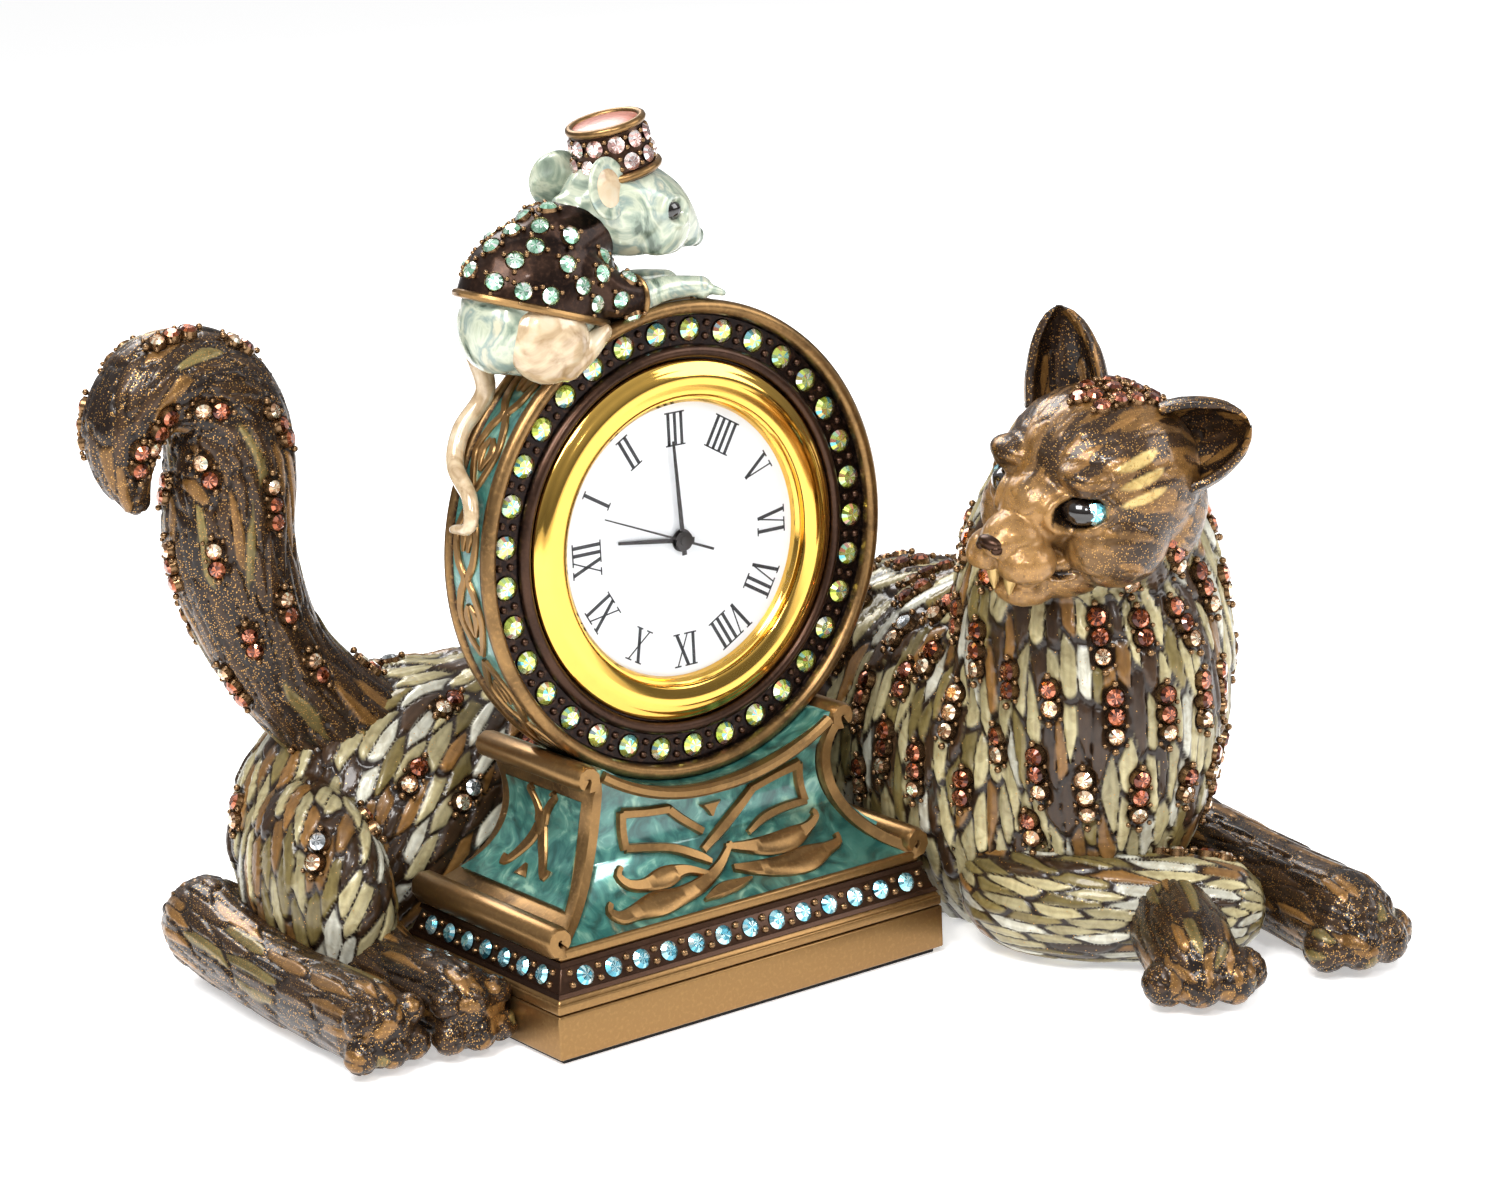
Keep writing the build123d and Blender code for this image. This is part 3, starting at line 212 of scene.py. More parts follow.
@dataclass(frozen=True)
class AgedMetal(Finish):
    """Metal whose edges are rubbed bright and whose hollows keep a dark patina."""

    patina: Row = (0.05, 0.03, 0.02)
    wear: float = 1.0

    def make(self) -> bpy.types.Material:
        """Builds the material."""
        recipe = Recipe(f"{self.name}_finish")
        recipe.base(Metallic=0.92, Coat_Weight=self.coat, Coat_Roughness=0.12)
        shape = recipe.node("NewGeometry")
        cloud = recipe.noise(230.0, 5.0, 0.6)
        lift = recipe.node("Math", operation="MULTIPLY_ADD")
        lift.inputs[1].default_value = 0.16
        recipe.join(cloud.outputs["Fac"], lift.inputs[0])
        recipe.join(shape.outputs["Pointiness"], lift.inputs[2])
        low = 0.575 - 0.02 * self.wear
        tone = recipe.ramp(lift.outputs[0], [(low, self.patina), (low + 0.09, self.colour)])
        glow = tuple(min(1.0, part * 1.45) for part in self.colour)
        scuffs = recipe.noise(2400.0, 2.0, 0.2)
        flecks = recipe.ramp(scuffs.outputs["Fac"], [(0.5, (0, 0, 0)), (0.75, (0.5, 0.5, 0.5))])
        recipe.join(recipe.mix(flecks, tone, glow), recipe.shader.inputs["Base Color"])
        rough = recipe.node("MapRange")
        rough.inputs["To Min"].default_value = self.roughness - 0.07
        rough.inputs["To Max"].default_value = self.roughness + 0.12
        recipe.join(scuffs.outputs["Fac"], rough.inputs["Value"])
        recipe.join(rough.outputs["Result"], recipe.shader.inputs["Roughness"])
        recipe.bump(scuffs.outputs["Fac"], 0.25, 0.03)
        return recipe.material


@dataclass(frozen=True)
class PearlEnamel(Finish):
    """Hand-poured enamel: swirled tones, a pearly sheen and a glossy rippled coat."""

    tones: tuple[Row, ...] = ()
    scale: float = 320.0
    swirl: float = 1.6
    ripple: float = 0.12
    gloss: float = 1.0

    def make(self) -> bpy.types.Material:
        """Builds the material."""
        recipe = Recipe(f"{self.name}_finish")
        recipe.base(
            Metallic=self.metallic, Roughness=self.roughness, Coat_Weight=self.gloss, Coat_Roughness=0.08
        )
        cloud = recipe.noise(self.scale, 5.0, self.swirl)
        count = len(self.tones)
        stops = [(0.3 + 0.42 * place / (count - 1), tone) for place, tone in enumerate(self.tones)]
        recipe.join(recipe.ramp(cloud.outputs["Fac"], stops), recipe.shader.inputs["Base Color"])
        waves = recipe.noise(self.scale * 1.7, 2.0, 0.4)
        recipe.bump(waves.outputs["Fac"], 0.5, self.ripple)
        return recipe.material


@dataclass(frozen=True)
class CutGlass(Finish):
    """Foil-backed crystal: its facets take painted shade and painted glints over the stone's own colours, from
    a value drawn for each face.
    """

    second: Row = (1.0, 1.0, 1.0)

    def make(self) -> bpy.types.Material:
        """Builds the material."""
        recipe = Recipe(f"{self.name}_finish")
        recipe.base(Metallic=0.8, Roughness=0.14, Coat_Weight=0.7, Coat_Roughness=0.02, IOR=1.5)
        facet = recipe.node("Attribute", attribute_name="facet")
        # painted shade and glints: the drawn value runs from a shade darker than the stone, through its two
        # colours, to a glint near white
        deep = tuple(part * 0.35 for part in self.colour)
        bright = tuple(min(1.0, part * 1.5 + 0.12) for part in self.second)
        tone = recipe.ramp(
            facet.outputs["Fac"], [(0.08, deep), (0.45, self.colour), (0.7, self.second), (0.97, bright)]
        )
        recipe.join(tone, recipe.shader.inputs["Base Color"])
        return recipe.material


@dataclass(frozen=True)
class RainbowGlass(CutGlass):
    """Crystal with a rainbow coat: yellow-green with flashes of blue and pink, and painted shade and painted
    white glints on its facets.
    """

    def make(self) -> bpy.types.Material:
        """Builds the material."""
        recipe = Recipe(f"{self.name}_finish")
        recipe.base(Metallic=0.75, Roughness=0.14, Coat_Weight=0.6, Coat_Roughness=0.02, IOR=1.5)
        facet = recipe.node("Attribute", attribute_name="facet")
        # painted shade at the dark end and a painted glint at the near-white end; the blues, pinks and greens
        # between are the coat's tints
        stops = [
            (0.0, (0.16, 0.2, 0.02)),
            (0.25, (0.5, 0.62, 0.06)),
            (0.5, (0.75, 0.88, 0.22)),
            (0.66, (0.1, 0.5, 0.62)),
            (0.76, (0.8, 0.3, 0.16)),
            (0.85, (0.55, 0.8, 0.2)),
            (0.97, (1.0, 1.0, 0.8)),
        ]
        recipe.join(recipe.ramp(facet.outputs["Fac"], stops), recipe.shader.inputs["Base Color"])
        return recipe.material


@dataclass(frozen=True)
class ClearGlass(Finish):
    """The lens: thin clear glass."""

    def make(self) -> bpy.types.Material:
        """Builds the material."""
        recipe = Recipe(f"{self.name}_finish")
        recipe.base(
            Base_Color=(1, 1, 1, 1), Roughness=0.0, IOR=1.05, Transmission_Weight=1.0, Specular_IOR_Level=0.2
        )
        return recipe.material


@dataclass(frozen=True)
class FurEnamel(Finish):
    """Enamelled locks over dark bronze grooves, from the lock and groove attributes; the lock colours carry
    painted shade towards each root and painted light towards each tip.
    """

    glitter: float = 0.0

    def make(self) -> bpy.types.Material:
        """Builds the material."""
        recipe = Recipe(f"{self.name}_finish")
        recipe.base(
            Roughness=self.roughness, Coat_Weight=self.coat, Coat_Roughness=0.1, Specular_IOR_Level=0.3
        )
        lock = recipe.node("Attribute", attribute_name="lock")
        groove = recipe.node("Attribute", attribute_name="groove")
        streaks = recipe.noise(650.0, 4.0, 1.2)
        shade = recipe.ramp(streaks.outputs["Fac"], [(0.3, (0.55, 0.5, 0.42)), (0.62, (1.0, 1.0, 1.0))])
        toned = recipe.node("Mix", data_type="RGBA", blend_type="MULTIPLY")
        toned.inputs[0].default_value = 0.75
        recipe.join(lock.outputs["Color"], toned.inputs[MIX_FIRST])
        recipe.join(shade, toned.inputs[MIX_SECOND])
        depth = recipe.ramp(groove.outputs["Fac"], [(0.22, (0, 0, 0)), (0.58, (1, 1, 1))])
        colour = recipe.mix(depth, (0.018, 0.01, 0.006), toned.outputs[MIX_COLOUR])
        colour = self.add_glitter(recipe, colour)
        recipe.join(colour, recipe.shader.inputs["Base Color"])
        recipe.bump(streaks.outputs["Fac"], 0.35, 0.12)
        return recipe.material

    def add_glitter(self, recipe: Recipe, colour: object) -> object:
        """Strews gold specks over a colour.

        Args:
            recipe: The material.
            colour: The socket of the colour beneath.

        Returns:
            The speckled colour's socket.
        """
        specks = recipe.node("TexVoronoi")
        specks.inputs["Scale"].default_value = 6500.0
        where = recipe.node("TexCoord")
        recipe.join(where.outputs["Object"], specks.inputs["Vector"])
        pick = recipe.node("SeparateColor")
        recipe.join(specks.outputs["Color"], pick.inputs[0])
        near = recipe.node("Math", operation="LESS_THAN")
        near.inputs[1].default_value = 0.42
        recipe.join(specks.outputs["Distance"], near.inputs[0])
        some = recipe.node("Math", operation="GREATER_THAN")
        some.inputs[1].default_value = 1.0 - self.glitter
        recipe.join(pick.outputs[0], some.inputs[0])
        both = recipe.node("Math", operation="MULTIPLY")
        recipe.join(near.outputs[0], both.inputs[0])
        recipe.join(some.outputs[0], both.inputs[1])
        shine = recipe.node("Math", operation="MULTIPLY_ADD")
        shine.inputs[1].default_value = 0.6
        shine.inputs[2].default_value = self.metallic
        recipe.join(both.outputs[0], shine.inputs[0])
        recipe.join(shine.outputs[0], recipe.shader.inputs["Metallic"])
        return recipe.mix(both.outputs[0], colour, (0.5, 0.27, 0.08))


class Finishes:
    """Every finish on the clock."""

    BRONZE = AgedMetal(
        "antique_bronze", (0.27, 0.155, 0.06), roughness=0.3, wear=1.0, patina=(0.035, 0.02, 0.012)
    )
    DARK_BRONZE = AgedMetal(
        "dark_bronze", (0.06, 0.03, 0.018), roughness=0.3, coat=0.08, patina=(0.012, 0.007, 0.006)
    )
    BEAD_BRONZE = AgedMetal("bead_bronze", (0.21, 0.12, 0.055), roughness=0.24, coat=0.1)
    GOLD = Finish("polished_gold", (0.86, 0.52, 0.11), metallic=1.0, roughness=0.09, variation=0.04)
    DIAL = Finish("dial_white", (0.86, 0.88, 0.9), roughness=0.35, variation=0.01)
    INK = Finish("numeral_ink", (0.035, 0.035, 0.04), roughness=0.5)
    HAND = Finish("hand_black", (0.035, 0.03, 0.03), metallic=0.3, roughness=0.32)
    TEAL = PearlEnamel(
        "teal_enamel",
        (0.1, 0.3, 0.27),
        metallic=0.35,
        roughness=0.3,
        tones=((0.008, 0.05, 0.045), (0.025, 0.13, 0.115), (0.07, 0.24, 0.2), (0.28, 0.5, 0.38)),
        scale=330.0,
    )
    MOUSE = PearlEnamel(
        "mouse_enamel",
        (0.6, 0.62, 0.5),
        metallic=0.12,
        roughness=0.25,
        tones=(
            (0.07, 0.1, 0.07), (0.24, 0.3, 0.23), (0.5, 0.53, 0.4), (0.22, 0.29, 0.26), (0.55, 0.52, 0.38)
        ),
        gloss=0.6,
        scale=150.0,
        swirl=2.6,
        ripple=0.05,
    )
    THIGH = PearlEnamel(
        "thigh_enamel",
        (0.7, 0.55, 0.4),
        metallic=0.1,
        roughness=0.25,
        tones=((0.3, 0.19, 0.09), (0.56, 0.42, 0.26), (0.6, 0.54, 0.4)),
        scale=220.0,
        swirl=2.2,
        ripple=0.05,
    )
    PEACH = PearlEnamel(
        "peach_enamel",
        (0.8, 0.45, 0.3),
        metallic=0.1,
        roughness=0.3,
        tones=((0.24, 0.05, 0.02), (0.36, 0.085, 0.04), (0.42, 0.12, 0.06)),
        gloss=0.1,
        scale=600.0,
        ripple=0.05,
    )
    AQUA = CutGlass("aqua_crystal", (0.12, 0.5, 0.66), second=(0.45, 0.85, 0.95))
    RAINBOW = RainbowGlass("rainbow_crystal", (0.7, 0.8, 0.2))
    MINT = CutGlass("mint_crystal", (0.32, 0.68, 0.46), second=(0.68, 0.95, 0.78))
    PINK = CutGlass("pink_crystal", (0.75, 0.42, 0.38), second=(0.98, 0.78, 0.72))
    TOPAZ = CutGlass("topaz_crystal", (0.1, 0.02, 0.009), second=(0.38, 0.085, 0.018))
    CHAMPAGNE = CutGlass("peach_crystal", (0.55, 0.28, 0.14), second=(0.95, 0.68, 0.45))
    GREY_STONE = CutGlass("grey_crystal", (0.42, 0.45, 0.47), second=(0.85, 0.88, 0.9))
    LENS = ClearGlass("lens_glass", (1, 1, 1))
    FELT = Finish("base_felt", (0.02, 0.02, 0.02), roughness=0.95)
    STEEL = Finish("screw_steel", (0.5, 0.5, 0.5), metallic=1.0, roughness=0.3)
    PLATE = Finish("plate_metal", (0.55, 0.53, 0.48), metallic=1.0, roughness=0.35)
    BRASS = Finish("wheel_brass", (0.75, 0.55, 0.22), metallic=1.0, roughness=0.28)
    COPPER = Finish("copper_wire", (0.6, 0.25, 0.1), metallic=1.0, roughness=0.35)
    MAGNET = Finish("rotor_magnet", (0.2, 0.2, 0.21), metallic=0.8, roughness=0.4)
    CASE = Finish("case_plastic", (0.66, 0.65, 0.6), roughness=0.42)
    GRIP = Finish("grip_rubber", (0.72, 0.72, 0.68), roughness=0.4)
    KNOB = Finish("knob_plastic", (0.04, 0.04, 0.04), roughness=0.4)
    BOARD = Finish("board_green", (0.02, 0.2, 0.08), roughness=0.45, coat=0.5)
    EYE = Finish("eye_dark", (0.008, 0.005, 0.004), roughness=0.12, coat=1.0)
    FUR = FurEnamel("fur_enamel", (0.5, 0.45, 0.3), metallic=0.05, roughness=0.3, coat=0.3, glitter=0.015)
    GLITTER = FurEnamel(
        "gold_glitter", (0.3, 0.2, 0.1), metallic=0.3, roughness=0.34, coat=0.22, glitter=0.26
    )


# ---------------------------------------------------------------- shape helpers
def finish_piece(
    name: str,
    mesh: bpy.types.Mesh,
    finish: Finish,
    body: str = "clock",
    nodes: tuple[str, ...] = (),
    smooth_angle: float = 40.0,
) -> bpy.types.Object:
    """Turns a mesh in millimetres into a dressed piece that rides its body.

    Args:
        name: The piece's name.
        mesh: The mesh, in millimetres.
        finish: What it is finished in.
        body: The CAD body that it rides.
        nodes: The CAD nodes that it stands for.
        smooth_angle: Edges sharper than this many degrees stay crisp.

    Returns:
        The new object.
    """
    mesh.transform(Matrix.Scale(MM, 4))
    mesh.shade_smooth()
    mesh.set_sharp_from_angle(angle=math.radians(smooth_angle))
    mesh.materials.clear()
    mesh.materials.append(finish.material())
    piece = bpy.data.objects.new(name, mesh)
    bpy.context.scene.collection.objects.link(piece)
    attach(piece, body)
    if nodes:
        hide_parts(*nodes)
    LOG.info("%s: %d faces", name, len(mesh.polygons))
    return piece


def to_mesh(shape: bmesh.types.BMesh, outward: bool = True) -> bpy.types.Mesh:
    """Writes a bmesh out as a mesh and frees it.

    Args:
        shape: The bmesh.
        outward: Whether its normals are worked out again first.

    Returns:
        The mesh.
    """
    if outward:
        bmesh.ops.recalc_face_normals(shape, faces=shape.faces)
    mesh = bpy.data.meshes.new("work")
    shape.to_mesh(mesh)
    shape.free()
    return mesh


def soften(shape: bmesh.types.BMesh, width: float, angle: float = 35.0, segments: int = 2) -> None:
    """Rounds every edge that turns by more than an angle.

    Args:
        shape: The bmesh to work on.
        width: The bevel's width in millimetres.
        angle: The least turn in degrees.
        segments: Faces across the bevel.
    """
    sharp = [
        edge for edge in shape.edges if edge.is_manifold and edge.calc_face_angle(0.0) > math.radians(angle)
    ]
    bmesh.ops.bevel(
        shape,
        geom=sharp,
        offset=width,
        segments=segments,
        profile=0.5,
        affect="EDGES",
        material=-1,
        clamp_overlap=True,
    )


def turned(outline: list[tuple[float, float]], steps: int = 160, edge: float = 0.0) -> bmesh.types.BMesh:
    """Turns a closed outline of (radius, forward) points about the drum's axis.

    Args:
        outline: The points, in order.
        steps: Faces round the axis.
        edge: The width that its edges are rounded to, or none.

    Returns:
        The turned bmesh.
    """
    shape = bmesh.new()
    ring = [shape.verts.new((radius, -forward, DRUM_Z)) for radius, forward in outline]
    edges = [shape.edges.new((ring[place - 1], ring[place])) for place in range(len(ring))]
    bmesh.ops.spin(
        shape,
        geom=ring + edges,
        cent=(0, 0, DRUM_Z),
        axis=(0, 1, 0),
        angle=2 * math.pi,
        steps=steps,
        use_merge=True,
        dvec=(0, 0, 0),
    )
    bmesh.ops.recalc_face_normals(shape, faces=shape.faces)
    if edge:
        soften(shape, edge, 25.0)
    return shape


def sweep(shape: bmesh.types.BMesh, rings: list[list[Vector]]) -> None:
    """Pulls a closed ring of points through a row of places, and closes both ends.

    Args:
        shape: The bmesh that it is added to.
        rings: The ring's points at each place, the same count each time.
    """
    ring = [shape.verts.new(point) for point in rings[0]]
    edges = [shape.edges.new((ring[place - 1], ring[place])) for place in range(len(ring))]
    bmesh.ops.edgeloop_fill(shape, edges=edges)
    for places in rings[1:]:
        made = bmesh.ops.extrude_edge_only(shape, edges=edges)["geom"]
        fresh = {item for item in made if isinstance(item, bmesh.types.BMVert)}
        ring = [next(e.other_vert(v) for e in v.link_edges if e.other_vert(v) in fresh) for v in ring]
        for vert, point in zip(ring, places):
            vert.co = point
        edges = [
            item for item in made if isinstance(item, bmesh.types.BMEdge) and all(
                v in fresh for v in item.verts
            )
        ]
    bmesh.ops.edgeloop_fill(shape, edges=edges)


def curve_through(points: list[Row], spacing: float) -> list[Vector]:
    """A smooth row of places through some points.

    Args:
        points: The points to pass through.
        spacing: The distance between places.

    Returns:
        The places, as vectors of the points' own length.
    """
    ends = [np.array(point, float) for point in points]
    ends = [2 * ends[0] - ends[1], *ends, 2 * ends[-1] - ends[-2]]
    out = []
    for place in range(1, len(ends) - 2):
        a, b, c, d = ends[place - 1 : place + 3]
        count = max(2, int(np.linalg.norm(c[:3] - b[:3]) / spacing))
        for step in range(count):
            t = step / count
            square, cube = 2 * a - 5 * b + 4 * c - d, 3 * b - a - 3 * c + d
            out.append(0.5 * (2 * b + (c - a) * t + square * t * t + cube * t * t * t))
    out.append(ends[-2])
    return out


def tube(shape: bmesh.types.BMesh, points: list[Row], sides: int = 12, spacing: float = 0.6) -> None:
    """A round rod through (x, y, z, radius) points, with rounded ends.

    Args:
        shape: The bmesh that it is added to.
        points: Where it goes, and how thick it is there.
        sides: Faces round it.
        spacing: The distance between its rings.
    """
    places = curve_through(points, spacing)
    first, last = places[0], places[-1]
    start, end = (first - places[1])[:3], (last - places[-2])[:3]
    start, end = start / np.linalg.norm(start), end / np.linalg.norm(end)
    caps = [(0.5, 0.87), (0.87, 0.5), (0.98, 0.15)]
    before = [
        np.array([*(first[:3] + start * first[3] * out), first[3] * size]) for out, size in reversed(caps)
    ]
    after = [np.array([*(last[:3] + end * last[3] * out), last[3] * size]) for out, size in caps]
    places = [*before, *places, *after]
    side = Vector((0.0, 1.0, 0.0))
    rings = []
    for number, place in enumerate(places):
        ahead, behind = places[min(number + 1, len(places) - 1)], places[max(number - 1, 0)]
        along = Vector((ahead - behind)[:3]).normalized()
        side = (side - along * side.dot(along)).normalized()
        up = along.cross(side)
        rings.append(
            [
                Vector(place[:3]) + (side * math.cos(turn) + up * math.sin(turn)) * place[3]
                for turn in (2 * math.pi * k / sides for k in range(sides))
            ]
        )
    sweep(shape, rings)


@dataclass
class Lay:
    """A place to lay strips on: it turns (across, up, rise) on a panel into a point."""

    def point(self, across: float, up: float, rise: float) -> Vector:
        """A point on the panel.

        Args:
            across: Distance across the panel.
            up: Distance up the panel.
            rise: Height above it.

        Returns:
            The point in space.
        """
        raise NotImplementedError


def strip(shape: bmesh.types.BMesh, lay: Lay, points: list[Row], rise: float, sink: float = 0.35) -> None:
    """A raised strap with rounded shoulders, through (across, up, half width) points on a panel.

    Args:
        shape: The bmesh that it is added to.
        lay: The panel.
        points: Where the strap goes, and half its width there.
        rise: How far it stands out.
        sink: How far its foot goes into the panel.
    """
    places = curve_through(points, 0.35)
    rings = []
    for number, place in enumerate(places):
        ahead, behind = places[min(number + 1, len(places) - 1)], places[max(number - 1, 0)]
        along = (ahead - behind)[:2]
        along = along / max(np.linalg.norm(along), 1e-6)
        side = np.array([-along[1], along[0]])
        section = (
            (-1.0, -sink), (-1.0, 0.55 * rise), (-0.72, rise), (0.72, rise), (1.0, 0.55 * rise), (1.0, -sink)
        )
        rings.append(
            [
                lay.point(
                    place[0] + side[0] * share * place[2], place[1] + side[1] * share * place[2], height
                )
                for share, height in section
            ]
        )
    sweep(shape, rings)


def add_ball(
    shape: bmesh.types.BMesh, centre: Row, radii: Row, turn: Matrix | None = None, detail: int = 3
) -> None:
    """Adds an egg to a bmesh.

    Args:
        shape: The bmesh.
        centre: Where it goes.
        radii: Its half sizes.
        turn: How it is turned.
        detail: The ball's subdivisions.
    """
    place = Matrix.Translation(centre) @ (turn or Matrix()) @ Matrix.Diagonal((*radii, 1.0))
    bmesh.ops.create_icosphere(shape, subdivisions=detail, radius=1.0, matrix=place)


def copy_node(name: str) -> bmesh.types.BMesh:
    """A merged copy of a CAD node's mesh, in millimetres."""
    shape = bmesh.new()
    shape.from_mesh(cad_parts[name].data)
    bmesh.ops.remove_doubles(shape, verts=shape.verts, dist=1e-7)
    bmesh.ops.scale(shape, verts=shape.verts, vec=(1 / MM,) * 3)
    return shape


# ---------------------------------------------------------------- crystals
@dataclass(frozen=True)
class Seat:
    """Where a stone or bead sits: its centre, the way it faces and its radius."""

    place: tuple[float, float, float]
    facing: tuple[float, float, float]
    radius: float
    turn: float = 0.0

    def matrix(self) -> Matrix:
        """The transform from a unit shape at the origin to this seat."""
        aim = Vector(self.facing).to_track_quat("Z", "Y").to_matrix().to_4x4()
        return Matrix.Translation(self.place) @ aim @ Matrix.Rotation(self.turn, 4, "Z") @ Matrix.Scale(
            self.radius, 4
        )


@dataclass
class StoneSetter:
    """Sets faceted stones: a starred table, a crown of facets and a girdle."""

    sides: int = 8
    table: float = 0.56
    crown: float = 0.34

    def set_stones(self, seats: list[Seat], seed: int) -> bpy.types.Mesh:
        """Cuts a stone for every seat.

        Args:
            seats: Where they go.
            seed: Starts the draw of painted glints and shade for the facets.

        Returns:
            One mesh of all the stones, whose facets each carry a drawn value of painted glint and shade.
        """
        draw = np.random.default_rng(seed)
        shape = bmesh.new()
        # a layer on the faces that holds their painted glints and shade
        tone = shape.faces.layers.float.new("facet")
        for seat in seats:
            place = seat.matrix()
            known = len(shape.faces)
            bottom = bmesh.ops.create_circle(shape, segments=2 * self.sides, radius=1.0, matrix=place)[
                "verts"
            ]
            edges = list({edge for vert in bottom for edge in vert.link_edges})
            made = bmesh.ops.extrude_edge_only(shape, edges=edges)["geom"]
            top = [item for item in made if isinstance(item, bmesh.types.BMVert)]
            frame_back = place.inverted()
            for vert in top:
                local = frame_back @ vert.co
                turn = math.atan2(local.y, local.x)
                star = self.table if round(turn / (math.pi / self.sides)) % 2 else self.table * 1.12
                vert.co = place @ Vector((math.cos(turn) * star, math.sin(turn) * star, self.crown))
            rim = [
                item for item in made if isinstance(item, bmesh.types.BMEdge) and all(
                    v in top for v in item.verts
                )
            ]
            cap = bmesh.ops.edgeloop_fill(shape, edges=rim)["faces"]
            bmesh.ops.poke(shape, faces=cap)
            shape.faces.ensure_lookup_table()
            # painted glints and shade: each of the stone's faces draws a value from dark to near white, and
            # alternate faces are lifted towards the glint
            for number in range(known, len(shape.faces)):
                face = shape.faces[number]
                glint_lift = (number % 2) * 0.35
                face[tone] = float(np.clip(draw.beta(1.5, 1.4) * 0.75 + glint_lift, 0, 1))
            shape.faces.new(bottom[::-1])
        mesh = to_mesh(shape, outward=False)
        mesh.update()
        return mesh

    @staticmethod
    def set_beads(seats: list[Seat]) -> bpy.types.Mesh:
        """Raises a bead at every seat.

        Args:
            seats: Where they go.

        Returns:
            One mesh of all the beads.
        """
        shape = bmesh.new()
        for seat in seats:
            bmesh.ops.create_uvsphere(shape, u_segments=8, v_segments=5, radius=1.0, matrix=seat.matrix())
        return to_mesh(shape)

    @staticmethod
    def set_cups(seats: list[Seat], height: float = 0.45) -> bpy.types.Mesh:
        """Raises a thin collar round every seat.

        Args:
            seats: The stones that they hold.
            height: How far a collar reaches below and above the girdle, as a share of its radius.

        Returns:
            One mesh of all the collars.
        """
        shape = bmesh.new()
        for seat in seats:
            made = bmesh.ops.create_cone(
                shape,
                cap_ends=True,
                segments=14,
                radius1=1.22,
                radius2=1.1,
                depth=2 * height,
                matrix=seat.matrix() @ Matrix.Translation((0, 0, -height + 0.08)),
            )["verts"]
            faces = {face for vert in made for face in vert.link_faces}
            facing = Vector(seat.facing).normalized()
            lid = max(faces, key=lambda face: (face.calc_center_median() - Vector(seat.place)).dot(facing))
            bmesh.ops.inset_region(shape, faces=[lid], thickness=0.12 * seat.radius)
            bmesh.ops.translate(shape, verts=lid.verts, vec=-facing * 0.25 * seat.radius)
        return to_mesh(shape)


SETTER = StoneSetter()


def gem_piece(
    name: str, seats: list[Seat], finish: Finish, nodes: tuple[str, ...] = (), seed: int = SEED
) -> None:
    """Sets stones and finishes them as a piece.

    Args:
        name: The piece's name.
        seats: Where the stones sit.
        finish: Their glass.
        nodes: The CAD nodes that they stand for.
        seed: Starts the draw of painted glints and shade for the facets.
    """
    finish_piece(name, SETTER.set_stones(seats, seed), finish, nodes=nodes, smooth_angle=2.0)


